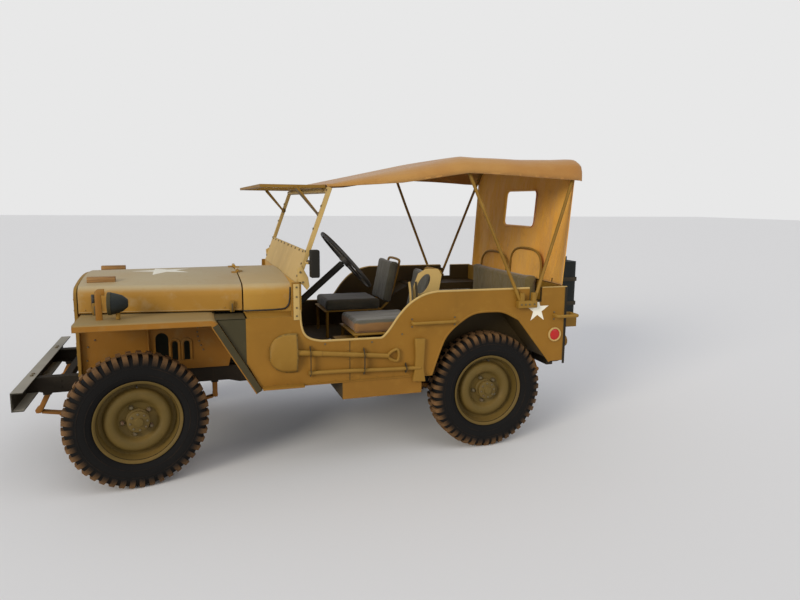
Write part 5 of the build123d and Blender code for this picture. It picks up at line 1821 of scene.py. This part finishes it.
@dataclass
class Fenders(Assembly):
    """Front fenders: the bent top with its rolled lip, the apron with its vents, and the lamp guard."""

    top: float = 0.9
    bend_x: float = 0.7
    foot: tuple[float, float] = (0.4664, 0.5)
    front_x: float = 1.372
    section: Flat = ((0.3855, 0.0), (0.725, 0.0), (0.737, 0.0022), (0.7435, 0.0075), (0.745, 0.014), (0.745, 0.034),
        (0.7425, 0.0365), (0.7405, 0.034), (0.74, 0.015), (0.736, 0.0085), (0.725, 0.005), (0.3855, 0.005))
    vents: tuple[tuple[float, ...], ...] = (
        # front x, rear x, low z, high z
        (1.012, 0.944, 0.61, 0.772), (0.925, 0.895, 0.612, 0.722), (0.861, 0.831, 0.612, 0.722),
    )

    def arch(self, x0: float, x1: float, low: float, high: float) -> Flat:
        """Draws an upright vent with a round head.

        Args:
            x0: Its front edge.
            x1: Its rear edge.
            low: Height of its foot.
            high: Height of its head.

        Returns:
            The outline.
        """
        middle, half = (x0 + x1) / 2, abs(x0 - x1) / 2
        turns = [math.pi * k / 8 for k in range(9)]
        head = [(middle + half * math.cos(t), high - half + half * math.sin(t)) for t in turns]
        return [(middle + half, low), *head, (middle - half, low)]

    def one(self, side: int, tag: str) -> None:
        """Adds every piece of one fender.

        Args:
            side: 1 for the left, -1 for the right.
            tag: The side's name.
        """
        name = f"fender_{tag}"
        way = Vector((self.bend_x - self.foot[0], self.top - self.foot[1])).normalized()
        knee = (self.bend_x - way.x * 0.03, self.top - way.y * 0.03)
        path = [(self.front_x, self.top), (self.bend_x + 0.03, self.top), (self.bend_x + 0.012, self.top - 0.001),
            (self.bend_x - 0.003, self.top - 0.009), knee, self.foot]
        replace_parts(self.add(Mould.bent(f"{name}_sheet", path, self.section, side, Stuff.FENDER)), name)
        leg = [(x + way.y * 0.0352, z - way.x * 0.0352) for x, z in (knee, self.foot)]
        self.bar(f"{name}_edge", [(x, side * 0.7445, z) for x, z in leg], 0.007, Stuff.FENDER)
        outer = side * 0.7449 if side < 0 else 0.7464
        # The leg's band takes the dark olive: painted shade.
        self.plate(f"{name}_band", [knee, self.foot, *leg[::-1]], upright(outer), 0.0015, Stuff.OLIVE)
        front = [(self.front_x - 0.004, side * y, z) for y, z in ((0.4, 0.884), (0.72, 0.884), (0.742, 0.88))]
        self.bar(f"{name}_front_lip", front, 0.006, Stuff.FENDER, 0.03, 8)
        outline = [(1.39, 0.898), (0.705, 0.898), (0.584, 0.69), (0.62, 0.558), (1.39, 0.558)]
        loops = [outline, *(self.arch(*vent) for vent in self.vents)]
        seat = upright(side * 0.386 if side < 0 else 0.39)
        self.add(Mould.cutout(f"{name}_apron", loops, seat, 0.004, Stuff.FENDER))
        # The wing fills the cowl side behind the leg; it and the shelf take the dark olive: painted shade.
        wing = [(0.692, 0.894), (0.535, 0.894), (0.535, 0.62)]
        self.plate(f"cowl_wing_{tag}", wing, upright(side * 0.724 if side < 0 else 0.728), 0.004, Stuff.OLIVE)
        for label, low, high, stuff in ((f"cowl_shelf_{tag}", (0.535, side * 0.54, 0.889), (0.7, side * 0.728, 0.893),
                Stuff.OLIVE), (f"{name}_flange", (1.388, side * 0.386, 0.6), (1.3895, side * 0.415, 0.893),
                Stuff.FENDER)):
            self.block(label, low, high, stuff, 0.0005)
        for number, (x0, x1, low, high) in enumerate(self.vents[1:]):
            rim = [(x, side * 0.3925, z) for x, z in self.arch(x0 + 0.01, x1 - 0.01, low, high + 0.012)]
            self.bar(f"{name}_vent_{number}", rim, 0.013, Stuff.FENDER)
        rib = [(1.0465, side * 0.3925, z) for z in (0.893, 0.57)]
        self.bar(f"{name}_rib", rib, 0.012, Stuff.FENDER, 0.03, 8)
        places = [(0.745 + 0.042 * math.sin(0.35 + k * 0.31), 0.872 - 0.026 * k) for k in range(9)]
        places += [(1.362, 0.8), (1.318, 0.752), (1.355, 0.715), (1.362, 0.64), (1.2, 0.88), (1.1, 0.88)]
        bolts = [((x, side * 0.3905, z), (0, side, 0)) for x, z in places]
        self.heads(f"{name}_bolts", bolts, 0.0055, 0.004, Stuff.BOLT, 12)
        tops = [((x, side * 0.405, self.top), (0, 0, 1)) for x in (1.33, 1.2, 1.07, 0.94, 0.81)]
        self.heads(f"{name}_top_bolts", tops, 0.0065, 0.004, Stuff.BOLT)

    def build(self) -> None:
        """Builds both fenders and the guard of the driving lamp."""
        for side, tag in SIDES:
            self.one(side, tag)
        guard = [(x, 0.62, z) for x, z in ((1.261, 0.898), (1.261, 1.04), (1.256, 1.044), (1.23, 1.044))]
        self.bar("lamp_guard", guard, 0.034, Stuff.FENDER, 0.006, 8)
        self.fasten()


@dataclass
class Springs(Assembly):
    """Leaf packs with U-bolts, eyes and shackles."""

    rows: tuple[tuple[float, ...], ...] = (
        # axle x, fixed eye x, its z, swinging eye x, its z, shackle head x
        (1.121, 0.7, 0.386, 1.62, 0.376, 1.572),
        (-0.911, -0.395, 0.386, -1.44, 0.38, -1.4),
    )
    leaves: tuple[float, ...] = (1.0, 0.97, 0.8, 0.66, 0.52, 0.38, 0.26)
    middle: float = 0.345
    width: float = 0.044
    low_top: float = 0.329
    hanger: float = 0.46

    def height(self, row: tuple[float, ...], x: float) -> float:
        """Finds the top leaf's height.

        Args:
            row: The spring's row of sizes.
            x: A place along it.

        Returns:
            The height there.
        """
        axle, a, az, b, bz, _ = row
        end, end_z = (a, az) if (x - axle) * (a - axle) > 0 else (b, bz)
        share = (x - axle) / (end - axle)
        return self.low_top - 0.004 + (end_z - self.low_top) * share * share

    def pack(self, row: tuple[float, ...], y: float) -> list[Piece]:
        """Makes one spring's leaves.

        Args:
            row: The spring's row of sizes.
            y: Its middle across the car.

        Returns:
            The leaves.
        """
        axle, a, _, b, _, _ = row
        leaves = []
        for number, share in enumerate(self.leaves):
            xs = [axle + (a - axle) * share * (1 - k / 12) for k in range(12)]
            xs += [axle + (b - axle) * share * k / 12 for k in range(13)]
            top = [(x, self.height(row, x) - 0.0062 * number) for x in xs]
            under = [(x, z - 0.0056) for x, z in reversed(top)]
            leaves.append(Mould.plate(f"leaf_{number}", top + under, upright(y + self.width / 2), self.width,
                Stuff.SPRING))
        return leaves

    def build(self) -> None:
        """Builds the four springs."""
        for row, (side, word) in [(row, pair) for row in self.rows for pair in SIDES[::-1]]:
            axle, a, az, b, bz, head = row
            y = side * self.middle
            tag = f"spring_{'front' if axle > 0 else 'rear'}_{word}"
            leaves = self.add(Mould.join(f"{tag}_leaves", self.pack(row, y)))
            if axle > 0 and side < 0:
                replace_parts(leaves, "leaf_springs")
            for end, (x, z, hx) in enumerate(((a, az, a), (b, bz, head))):
                tube = [(0.0, 0.0), (0.0, 0.015), (0.052, 0.015), (0.052, 0.0)]
                self.turned(f"{tag}_eye_{end}", tube, seat_on((x, y - 0.026, z), (0, 1, 0)), Stuff.SPRING, 20)
                strap = [(x - 0.013, z - 0.014), (x + 0.013, z - 0.014), (hx + 0.014, self.hanger),
                    (hx - 0.014, self.hanger)]
                for letter, off in (("a", -0.0265), ("b", 0.0225)):
                    self.plate(f"{tag}_shackle_{end}_{letter}", strap, upright(y + off + 0.004), 0.004, Stuff.SPRING,
                        0.001)
            for letter, off in (("a", -0.034), ("b", 0.034)):
                half = [(-0.026, 0.28), (-0.026, 0.385), (-0.018, 0.394)]
                loop = [(axle + off, y + w, z) for w, z in [*half, *((-w, z) for w, z in reversed(half))]]
                self.bar(f"{tag}_bolt_{letter}", loop, 0.01, Stuff.CHASSIS, rounds=1)
        self.fasten()


@dataclass
class SeatFrames(Assembly):
    """Tube frames and pans of the seats, the driver's side wing and the folding hoops at the rear."""

    rear_x: float = -0.5
    front_x: float = -0.078
    pan_z: float = 0.743
    floor_z: float = 0.553
    well_z: float = 0.7

    def front(self) -> None:
        """Adds the two front frames, with their pans, legs and hoops."""
        for side, tag in SIDES:
            pan = self.block(f"seat_pan_{tag}", (self.rear_x, side * 0.225, self.pan_z - 0.008),
                (self.front_x, side * 0.595, self.pan_z), Stuff.PAINT, 0.003)
            if side > 0:
                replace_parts(pan, "seat_frames")
            for end, x in (("r", self.rear_x + 0.02), ("f", self.front_x - 0.02)):
                for y in (0.24, 0.58):
                    foot = self.well_z if side > 0 and y > 0.388 and x > -0.455 else self.floor_z
                    leg = [(x, side * y, foot), (x, side * y, self.pan_z - 0.004)]
                    self.bar(f"seat_leg_{tag}_{end}{int(y * 100)}", leg, 0.022, Stuff.PAINT, sides=12)
            half = [(self.rear_x, 0.262, 0.737), (-0.57, 0.262, 0.8), (-0.642, 0.262, 1.08), (-0.646, 0.3, 1.094)]
            hoop = [(x, side * y, z) for x, y, z in [*half, *((x, 0.8 - y, z) for x, y, z in reversed(half))]]
            self.bar(f"seat_hoop_{tag}", hoop, 0.018, Stuff.PAINT, sides=12, rounds=1)

    def wing(self) -> None:
        """Adds the plate beside the driver's seat, with its hole and straps."""
        outline = [(-0.498, 0.735), (-0.44, 0.735), (-0.44, 0.9), (-0.438, 1.01), (-0.47, 1.092), (-0.52, 1.12),
            (-0.596, 1.118), (-0.62, 1.08), (-0.6, 0.96), (-0.56, 0.8)]
        c, s = math.cos(-1.05), math.sin(-1.05)
        turns = [math.tau * k / 20 for k in range(20)]
        hole = [(-0.505 + 0.065 * math.cos(t) * c - 0.033 * math.sin(t) * s,
            1.03 + 0.065 * math.cos(t) * s + 0.033 * math.sin(t) * c) for t in turns]
        # The wing takes the light golden paint: painted sunlight.
        self.add(Mould.cutout("seat_wing", [outline, hole], upright(0.6025), 0.006, Stuff.SHIELD))
        for number, (x, stuff) in enumerate(((-0.452, Stuff.WEBBING), (-0.412, Stuff.SHIELD))):
            strap = [(x, 0.606, 1.045), (x - 0.004, 0.622, 0.98), (x - 0.002, 0.632, 0.9), (x, 0.612, 0.84)]
            self.bar(f"seat_strap_{number}", strap, 0.004, stuff, 0.026, 8, rounds=2)

    def rear(self) -> None:
        """Adds the rear seat's frame, hoops and panel."""
        self.block("rear_seat_pan", (-1.383, -0.44, 0.742), (-0.905, 0.44, 0.75), Stuff.PAINT, 0.002)
        for end, x in (("r", -1.365), ("f", -0.925)):
            for hand, y in (("r", -0.42), ("l", 0.42)):
                leg = [(x, y, self.floor_z), (x, y, self.pan_z)]
                self.bar(f"rear_seat_leg_{end}{hand}", leg, 0.022, Stuff.PAINT, sides=12)
        x = -1.392
        for number, (y0, y1, high) in enumerate(((-0.457, -0.04, 1.148), (0.014, 0.438, 1.205))):
            loop = [(x, y0, 1.0), (x - 0.008, y0, high - 0.06), (x - 0.01, y0 + 0.09, high),
                (x - 0.01, y1 - 0.09, high), (x - 0.008, y1, high - 0.06), (x, y1, 1.0)]
            self.bar(f"rear_hoop_{number}", loop, 0.016, Stuff.PAINT, sides=12, rounds=2)
        panel = [(-0.2, 0.0), (0.2, 0.0), (0.2, 0.125), (0.15, 0.18), (-0.15, 0.18), (-0.2, 0.125)]
        seat = standing((-1.4005, 0.226, 1.012), (0.0, 1.0, 0.0), (-0.04, 0.0, 1.0))
        # The panel takes the bright curtain canvas: painted sunlight.
        self.plate("rear_hoop_panel", panel, seat, 0.004, Stuff.CURTAIN)

    def ladder(self) -> None:
        """Adds the slats under the driver's seat."""
        near = (Vector((0.064, 0.6, 0.725)), Vector((-0.187, 0.6, 0.562)))
        far = (Vector((0.031, 0.45, 0.695)), Vector((-0.23, 0.45, 0.525)))
        for number in range(6):
            slat = [near[0].lerp(near[1], number / 5), far[0].lerp(far[1], number / 5)]
            self.bar(f"seat_ladder_{number}", slat, 0.016, Stuff.STEEL, 0.005, 8)

    def build(self) -> None:
        """Builds the frames."""
        self.front()
        self.wing()
        self.rear()
        self.ladder()
        self.fasten()


@dataclass
class BodyTrim(Assembly):
    """Rolled edges, seams, brackets, bolts and latches of the body, hood, cowl and windshield."""

    skin: float = 0.73
    hinged: tuple[str, ...] = ("hood_hem", "hood_rivets", "hood_block", "hood_slot")
    door: Flat = ((0.256, 0.927), (0.251, 0.85), (0.236, 0.797), (0.204, 0.766), (0.148, 0.75), (0.09, 0.7475),
        (-0.16, 0.7455), (-0.209, 0.747), (-0.236, 0.769), (-0.262, 0.8), (-0.315, 0.873), (-0.375, 0.934),
        (-0.436, 0.972), (-0.49, 0.991), (-0.545, 1.0), (-1.148, 1.0))
    arch: Flat = ((-0.515, 0.505), (-0.566, 0.651), (-0.609, 0.739), (-0.69, 0.813), (-0.786, 0.863), (-0.907, 0.87),
        (-0.985, 0.86), (-1.083, 0.812), (-1.31, 0.532))
    nuts: Flat = ((-0.389, 0.8), (-0.656, 0.8), (-0.389, 0.844), (-0.656, 0.844), (-1.327, 0.8), (-1.327, 0.844),
        (-0.33, 0.76), (0.12, 0.73), (-0.15, 0.725))
    horn: Flat = ((0.262, 1.079), (0.266, 1.15), (0.24, 1.165), (0.205, 1.1), (0.198, 1.052), (0.212, 1.03),
        (0.236, 1.06))

    def side(self, side: int, tag: str, paint: Stuff) -> None:
        """Adds the trim of one body side.

        Args:
            side: 1 for the left, -1 for the right.
            tag: The side's name.
            paint: Its paint.
        """
        y, out = side * self.skin, (0, side, 0)
        lip = [(x, side * 0.7265, z) for x, z in eased(self.door)]
        self.bar(f"door_edge_{tag}", lip, 0.013, Stuff.SHIELD)
        lip = [(x, side * 0.7265, 1.001) for x in (-1.237, -1.412)]
        self.bar(f"rear_edge_{tag}", lip, 0.012, Stuff.SHIELD, 0.007, 8)
        lip = [(x, side * 0.725, z - 0.002) for x, z in eased(self.arch)]
        self.bar(f"arch_edge_{tag}", lip, 0.016, paint, sides=12)
        self.bar(f"seam_{tag}", [(-0.021, y, 0.506), (-0.021, y, 0.742)], 0.004, Stuff.OLIVE)
        self.bar(f"sill_bead_{tag}", [(0.236, y, 0.512), (-0.5, y, 0.512)], 0.01, paint, 0.004)
        # Dark strip down the rear corner in the near-black chassis paint: painted shade on the corner.
        self.block(f"corner_strip_{tag}", (-1.4155, y + side * 0.0004, 0.512), (-1.399, y + side * 0.0022, 0.998),
            Stuff.CHASSIS, 0.0005)
        self.block(f"cowl_post_{tag}", (0.258, y, 0.873), (0.291, y + side * 0.004, 1.07), Stuff.SHIELD, 0.001)
        places = [((0.274, y + side * 0.004, z), out) for z in (0.895, 0.94, 1.0, 1.052)]
        places += [((x, y + side * 0.0355, 0.905), out) for x in (-1.078, -1.105, -1.132, -1.166)]
        places += [((x, y, z), out) for x, z in self.nuts]
        self.heads(f"side_bolts_{tag}", places, 0.006, 0.004, Stuff.BOLT)
        rivets = [((-0.021 + off, y, 0.53 + 0.052 * k), out) for k in range(5) for off in (-0.012, 0.012)]
        rivets += [((x, y, 0.52), out) for x in (0.4, 0.33, 0.16, 0.06, -0.08, -0.18, -0.28, -0.38)]
        self.heads(f"side_rivets_{tag}", rivets, 0.0036, 0.0018, paint, 12)
        self.block(f"bow_bracket_{tag}", (-1.186, y, 0.8835), (-1.0585, side * 0.7655, 0.9265), Stuff.PAINT, 0.002)
        for x in (-1.085, -1.165):
            self.block(f"bow_socket_{tag}_{int(-x * 1000)}", (x - 0.014, side * 0.738, 0.9),
                (x + 0.014, side * 0.764, 0.975), Stuff.PAINT, 0.004)

    def bows(self) -> None:
        """Adds the two bows of the roof."""
        for name, foot, knee, head in (("front", -1.085, -0.745, -0.735), ("rear", -1.165, -1.452, -1.462)):
            half = [(foot, 0.751, 0.905), (knee, 0.684, 1.684), (head, 0.668, 1.722), (head, 0.61, 1.758)]
            arc = [(head, y, 1.764 - 0.012 * (y / 0.61) ** 2) for y in (0.4, 0.2, 0.0, -0.2, -0.4)]
            line = [*half, *arc, *((x, -y, z) for x, y, z in reversed(half))]
            bow = self.bar(f"bow_{name}", line, 0.02, Stuff.PAINT, sides=14, rounds=1)
            if name == "front":
                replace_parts(bow, "top_bows")

    def front(self, side: int, tag: str) -> None:
        """Adds the trim of one side of the hood, cowl, bumper and rails.

        Args:
            side: 1 for the left, -1 for the right.
            tag: The side's name.
        """
        edge = [(0.54, side * 0.549, 0.905), (0.33, side * 0.552, 0.905), (0.3, side * 0.552, 0.915),
            (0.284, side * 0.552, 0.945), (0.2795, side * 0.548, 1.03)]
        self.bar(f"cowl_edge_{tag}", edge, 0.009, Stuff.RUBBER, sides=8, rounds=1)
        for number, (x, y) in enumerate(((1.3, 0.452), (0.6, 0.5395))):
            self.block(f"hood_catch_{tag}_{number}", (x - 0.012, side * (y + 0.002), 0.902),
                (x + 0.012, side * (y + 0.014), 0.965), Stuff.PAINT, 0.003)
            loop = [(x, side * (y + off), z) for off, z in ((0.016, 0.95), (0.02, 0.925), (0.016, 0.905))]
            self.bar(f"hood_loop_{tag}_{number}", loop, 0.006, Stuff.BOLT)
        seam = [(x, side * (0.5412 - (x - 0.545) * 0.1313), 0.912) for x in (0.55, 1.38)]
        self.bar(f"hood_hem_{tag}", seam, 0.006, Stuff.HOOD)
        rivets = [((x, side * (0.5405 - (x - 0.545) * 0.1313), 0.925), (0.13, side, 0)) for x in (0.58, 0.64, 1.24,
            1.35)]
        self.heads(f"hood_rivets_{tag}", rivets, 0.004, 0.003, Stuff.HOOD, 12)
        bolts = [((1.6695, side * y, z), (1, 0, 0)) for y in (0.345, 0.345, 0.56) for z in (0.5, 0.545)]
        bolts += [((1.64, side * y, 0.5685), (0, 0, 1)) for y in (0.325, 0.365)]
        self.heads(f"bumper_bolts_{tag}", bolts, 0.01, 0.007, Stuff.BOLT)
        rail = [((x, side * 0.3708, z), (0, side, 0)) for x in (1.5, 1.3, 0.5, 0.1, -0.3, -1.3) for z in (0.5, 0.535)]
        self.heads(f"rail_rivets_{tag}", rail, 0.006, 0.003, Stuff.CHASSIS, 12)

    def middle(self) -> None:
        """Adds the hood's slot, its wooden blocks and the grille's bolts."""
        self.block("hood_slot", (1.302, 0.4385, 0.932), (1.316, 0.4475, 1.01), Stuff.RUBBER, 0.003)
        bolts = [((1.4066, side * 0.4, 0.56 + 0.06 * k), (1, 0, 0)) for side in (1, -1) for k in range(8)]
        self.heads("grille_bolts", bolts, 0.005, 0.003, Stuff.PAINT, 12)
        for side, tag in SIDES:
            block = self.block(f"hood_block_{tag}", (1.205, side * 0.315 - 0.019, 1.058),
                (1.348, side * 0.315 + 0.019, 1.089), Stuff.WOOD, 0.003)
            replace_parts(block, "hood_blocks")

    def shield(self) -> None:
        """Adds the windshield's side plates, bolts, arms, knobs and the mirror."""
        lean = math.radians(19.8)
        up = Vector((-math.sin(lean), 0.0, math.cos(lean)))
        out = Vector((math.cos(lean), 0.0, math.sin(lean)))
        base = Vector((0.261, 0.0, 1.077))
        for side, tag in SIDES:
            self.plate(f"shield_horn_{tag}", self.horn, upright(0.71 if side > 0 else -0.7055), 0.0045, Stuff.SHIELD,
                0.001)
            spots = [(h, 0.69) for h in (0.03, 0.1, 0.17, 0.3, 0.43, 0.52)]
            spots += [(0.165, y) for y in (0.08, 0.22, 0.36, 0.5, 0.62)]
            places = [((x, side * 0.71, z), (0, side, 0)) for x, z in ((0.235, 1.075), (0.248, 1.13))]
            places += [(base + up * h + out * 0.0112 + Vector((0, side * y, 0)), out) for h, y in spots]
            self.heads(f"shield_bolts_{tag}", places, 0.0065, 0.005, Stuff.BOLT)
            arm = [(0.14, side * 0.666, 1.437), (0.262, side * 0.666, 1.578)]
            self.bar(f"glass_arm_{tag}", arm, 0.01, Stuff.BOLT)
            knob = [(0.0, 0.0), (0.0, 0.014), (0.012, 0.016), (0.02, 0.011), (0.022, 0.0)]
            pivot = seat_on((0.133, side * 0.664, 1.438), (0, side, 0))
            self.turned(f"glass_knob_{tag}", knob, pivot, Stuff.BOLT, 16)
        self.block("mirror_head", (0.156, 0.7325, 1.106), (0.204, 0.7885, 1.254), Stuff.CHASSIS, 0.007, 4)
        self.block("mirror_face", (0.1545, 0.7385, 1.115), (0.1562, 0.7825, 1.245), Stuff.MIRROR, 0.0006)
        stem = [(0.212, 0.7, 1.178), (0.208, 0.722, 1.196), (0.204, 0.744, 1.181)]
        self.bar("mirror_stem", stem, 0.012, Stuff.BOLT, rounds=1)

    def build(self) -> None:
        """Builds all the trim."""
        for (side, tag), paint in zip(SIDES, (Stuff.LEFT_SIDE, Stuff.RIGHT_SIDE)):
            self.side(side, tag, paint)
        self.bows()
        for side, tag in SIDES:
            self.front(side, tag)
        self.middle()
        self.shield()
        for piece in self.made:
            report(piece, "hood" if piece.name.startswith(self.hinged) else "chassis")


@dataclass
class Rear(Assembly):
    """Details of the fuel can, its straps and the rear panel."""

    can_x: float = -1.6112
    can_y: float = 0.362
    panel_x: float = -1.4162

    def build(self) -> None:
        """Builds the pieces."""
        x, y = self.can_x, self.can_y
        for number, slope in enumerate((0.14, -0.14)):
            self.bar(f"can_rib_{number}", [(x, y - 0.12, 0.945 - slope), (x, y + 0.12, 0.945 + slope)], 0.003,
                Stuff.CAN, 0.022, 8)
        for hand, off in (("r", -0.1725), ("l", 0.1725)):
            self.bar(f"can_seam_{hand}", [(-1.5, y + off, 0.76), (-1.5, y + off, 1.09)], 0.01, Stuff.CAN, 0.003, 8)
        for number, z in enumerate((0.86, 1.02)):
            half = [(-1.418, 0.176), (-1.606, 0.176), (-1.6138, 0.165)]
            strap = [(x, y - off, z) for x, off in half] + [(x, y + off, z) for x, off in reversed(half)]
            self.bar(f"can_strap_{number}", strap, 0.003, Stuff.WEBBING, 0.026, 8, rounds=1)
        bolts = [((self.panel_x, side * y, z), (-1, 0, 0)) for side in (-1, 1) for y in (0.7, 0.64, 0.56,
            0.5) for z in (0.54, 0.975)]
        self.heads("rear_bolts", bolts, 0.006, 0.004, Stuff.BOLT)
        for hand, side in (("r", -1), ("l", 1)):
            for row, z in enumerate((0.76, 0.86)):
                rib = [(-1.4168, side * 0.7, z), (-1.4168, side * 0.6, z)]
                self.bar(f"rear_rib_{hand}{row}", rib, 0.02, Stuff.PAINT, 0.004, 8)
        self.fasten()


@dataclass
class Cabin(Assembly):
    """Dials and pedals."""

    face: float = 0.2435
    dials: tuple[Point, ...] = (
        # y, z, radius
        (0.0, 1.0, 0.045), (0.115, 1.02, 0.028), (-0.115, 1.02, 0.028), (0.115, 0.955, 0.028), (-0.115, 0.955, 0.028),
    )

    def build(self) -> None:
        """Builds the pieces."""
        for number, (y, z, r) in enumerate(self.dials):
            name, seat = f"dial_{number}", seat_on((self.face, y, z), (-1, 0, 0))
            rim = [(0.0, 0.0), (0.0, r), (0.006, r), (0.008, r * 0.94), (0.004, r * 0.88), (0.004, 0.0)]
            self.turned(f"{name}_rim", rim, seat, Stuff.CHASSIS, 32)
            plate = [(0.003, 0.0), (0.003, r * 0.87), (0.0046, r * 0.87), (0.0046, 0.0)]
            self.turned(f"{name}_face", plate, seat, Stuff.DIAL, 32)
            tick = Mould.block("tick", (0.0044, -r * 0.02, r * 0.66), (0.0052, r * 0.02, r * 0.82), Stuff.CREAM, 0.0)
            self.ring(f"{name}_marks", tick, 12, seat, Stuff.CREAM)
            hand = [seat @ Vector((0.0055, 0.0, -r * 0.15)), seat @ Vector((0.0055, r * 0.42, r * 0.48))]
            self.bar(f"{name}_hand", hand, r * 0.05, Stuff.CREAM, 0.001, 6)
        for number, y in enumerate((0.44, 0.34, 0.2)):
            stem = [(0.43, y, 0.6), (0.33, y, 0.64), (0.27, y, 0.7)]
            self.bar(f"pedal_stem_{number}", stem, 0.014, Stuff.CHASSIS, rounds=1)
            seat = standing((0.272, y - 0.035, 0.67), (0.0, 1.0, 0.0), (0.35, 0.0, 1.0))
            pad = [(0.0, 0.0), (0.07, 0.0), (0.07, 0.07), (0.0, 0.07)]
            self.plate(f"pedal_pad_{number}", pad, seat, 0.008, Stuff.RUBBER, 0.003)
        self.fasten()


@dataclass
class Studio:
    """Floor, light and the camera of the photograph."""

    focal: float = 633.3
    width: int = 800
    eye: Point = (0.818, 4.108, 1.513)
    yaw: float = -108.54
    pitch: float = -8.83
    roll: float = -0.59
    floor_half: float = 60.0
    suns: tuple[tuple[Any, ...], ...] = (
        # name, direction to it, strength, width in degrees, colour
        ("key_light", (0.76, 0.56, 0.33), 1.75, 22.0, (1.0, 0.95, 0.86)),
        ("fill_light", (-0.45, 0.75, 0.7), 0.55, 60.0, (1.0, 0.98, 0.95)),
    )

    def camera(self) -> None:
        """Places the camera."""
        data = bpy.data.cameras.new("photo_camera")
        data.sensor_fit = "HORIZONTAL"
        data.sensor_width = 36.0
        data.lens = 36.0 * self.focal / self.width
        data.clip_start = 0.05
        data.clip_end = 200.0
        a, b, c = (math.radians(v) for v in (self.yaw, self.pitch, self.roll))
        ahead = Vector((math.cos(a) * math.cos(b), math.sin(a) * math.cos(b), math.sin(b)))
        level = Vector((math.sin(a), -math.cos(a), 0.0))
        down = ahead.cross(level)
        right = level * math.cos(c) + down * math.sin(c)
        up = level * math.sin(c) - down * math.cos(c)
        turn = Matrix((right, up, -ahead)).transposed().to_4x4()
        turn.translation = Vector(self.eye)
        camera = Mould.shown("photo_camera", data)
        camera.matrix_world = turn
        bpy.context.scene.camera = camera

    def floor(self) -> None:
        """Lays a plain pale floor."""
        mesh = bpy.data.meshes.new("studio_floor")
        corners = ((-1, -1), (1, -1), (1, 1), (-1, 1))
        mesh.from_pydata([(x * self.floor_half, y * self.floor_half, 0) for x, y in corners], [], [(0, 1, 2, 3)])
        shade = Shade("studio_floor")
        mesh.materials.append(shade.finish(Base_Color=srgb(232, 230, 226), Roughness=0.95, Specular_IOR_Level=0.1))
        Mould.shown("studio_floor", mesh)

    def lamps(self) -> None:
        """Lights the car softly from the front left."""
        for name, way, power, soft, colour in self.suns:
            data = bpy.data.lights.new(name, "SUN")
            data.energy = power
            data.angle = math.radians(soft)
            data.color = colour
            lamp = Mould.shown(name, data)
            lamp.location = Vector(way) * 8.0
            lamp.rotation_euler = (-Vector(way)).to_track_quat("-Z", "Y").to_euler()

    def world(self) -> None:
        """Gives a soft pale sky, and a plain background to the camera and through glass."""
        world = bpy.data.worlds.new("studio_world")
        bpy.context.scene.world = world
        world.use_nodes = True
        tree = world.node_tree
        light = tree.nodes["Background"]
        light.inputs[0].default_value = (0.86, 0.9, 1.0, 1.0)
        light.inputs[1].default_value = 0.62
        seen = tree.nodes.new("ShaderNodeBackground")
        seen.inputs[0].default_value = srgb(232, 232, 232)
        rays = tree.nodes.new("ShaderNodeLightPath").outputs
        either = tree.nodes.new("ShaderNodeMath")
        either.operation = "MAXIMUM"
        blend = tree.nodes.new("ShaderNodeMixShader")
        for source, target in ((rays["Is Camera Ray"], either.inputs[0]),
                (rays["Is Transmission Ray"], either.inputs[1]), (either.outputs[0], blend.inputs[0]),
                (light.outputs[0], blend.inputs[1]), (seen.outputs[0], blend.inputs[2]),
                (blend.outputs[0], tree.nodes["World Output"].inputs["Surface"])):
            tree.links.new(source, target)

    def build(self) -> None:
        """Sets up the whole studio."""
        self.camera()
        self.floor()
        self.lamps()
        self.world()
        bpy.context.scene.view_settings.view_transform = "Standard"


NODES_OF: dict[Stuff, str] = {
    Stuff.HOOD: "hood",
    Stuff.COWL: "cowl",
    Stuff.FENDER: "fender_left fender_right",
    Stuff.CAN: "fuel_can",
    Stuff.INSIDE: "tub_floor",
    Stuff.LEFT_SIDE: "tub_left_side",
    Stuff.RIGHT_SIDE: "tub_right_side",
    Stuff.BUMPER: "bumpers",
    Stuff.CHASSIS: "driver_controls frame front_axle rear_axle knuckle_left knuckle_right tie_rod drive_shafts",
    Stuff.SHIELD: "windshield_frame",
    Stuff.SPRING: "leaf_springs",
    Stuff.EXHAUST: "exhaust",
    Stuff.ENGINE: "engine_block",
    Stuff.WOOD: "hood_blocks",
    Stuff.RUBBER: "steering_wheel",
    Stuff.PANE: "windshield_glass",
    Stuff.WHEEL: "rim_front_left rim_front_right rim_rear_left rim_rear_right spare_rim",
}


def dress_nodes() -> None:
    """Gives every node of the frame its finish, and body paint to those not listed."""
    finish = {name: stuff for stuff, names in NODES_OF.items() for name in names.split()}
    for name, node in frame["nodes"].items():
        for slot in node.material_slots:
            slot.material = finish.get(name, Stuff.PAINT).material()


def main() -> None:
    """Builds the car's pieces in order."""
    logging.basicConfig(level=logging.INFO, format="%(name)s: %(message)s")
    Studio().build()
    dress_nodes()
    works = Works()
    steer, offset = math.radians(9.1), 0.092
    for side, tag in SIDES:
        axle = (-side * math.sin(steer), side * math.cos(steer), 0.0)
        centre = (1.121 + axle[0] * offset, side * 0.53 + axle[1] * offset, 0.361)
        RoadWheel(works, f"front_{tag}", f"wheel_front_{tag}", centre, axle, f"tyre_front_{tag}").build()
    for side, tag in SIDES:
        centre = (-0.911, side * 0.622, 0.361)
        RoadWheel(works, f"rear_{tag}", f"wheel_rear_{tag}", centre, (0.0, side, 0.0), f"tyre_rear_{tag}").build()
    RoadWheel(works, "spare", "chassis", (-1.59, -0.2, 0.85), (-1.0, 0.0, 0.0), "spare_tyre", hub=False).build()
    for group in (CanvasTop, Seats, ToolRack, Lamps, Fenders, Springs, SeatFrames, BodyTrim, Rear, Cabin):
        group(works).build()


if __name__ == "__main__":
    main()
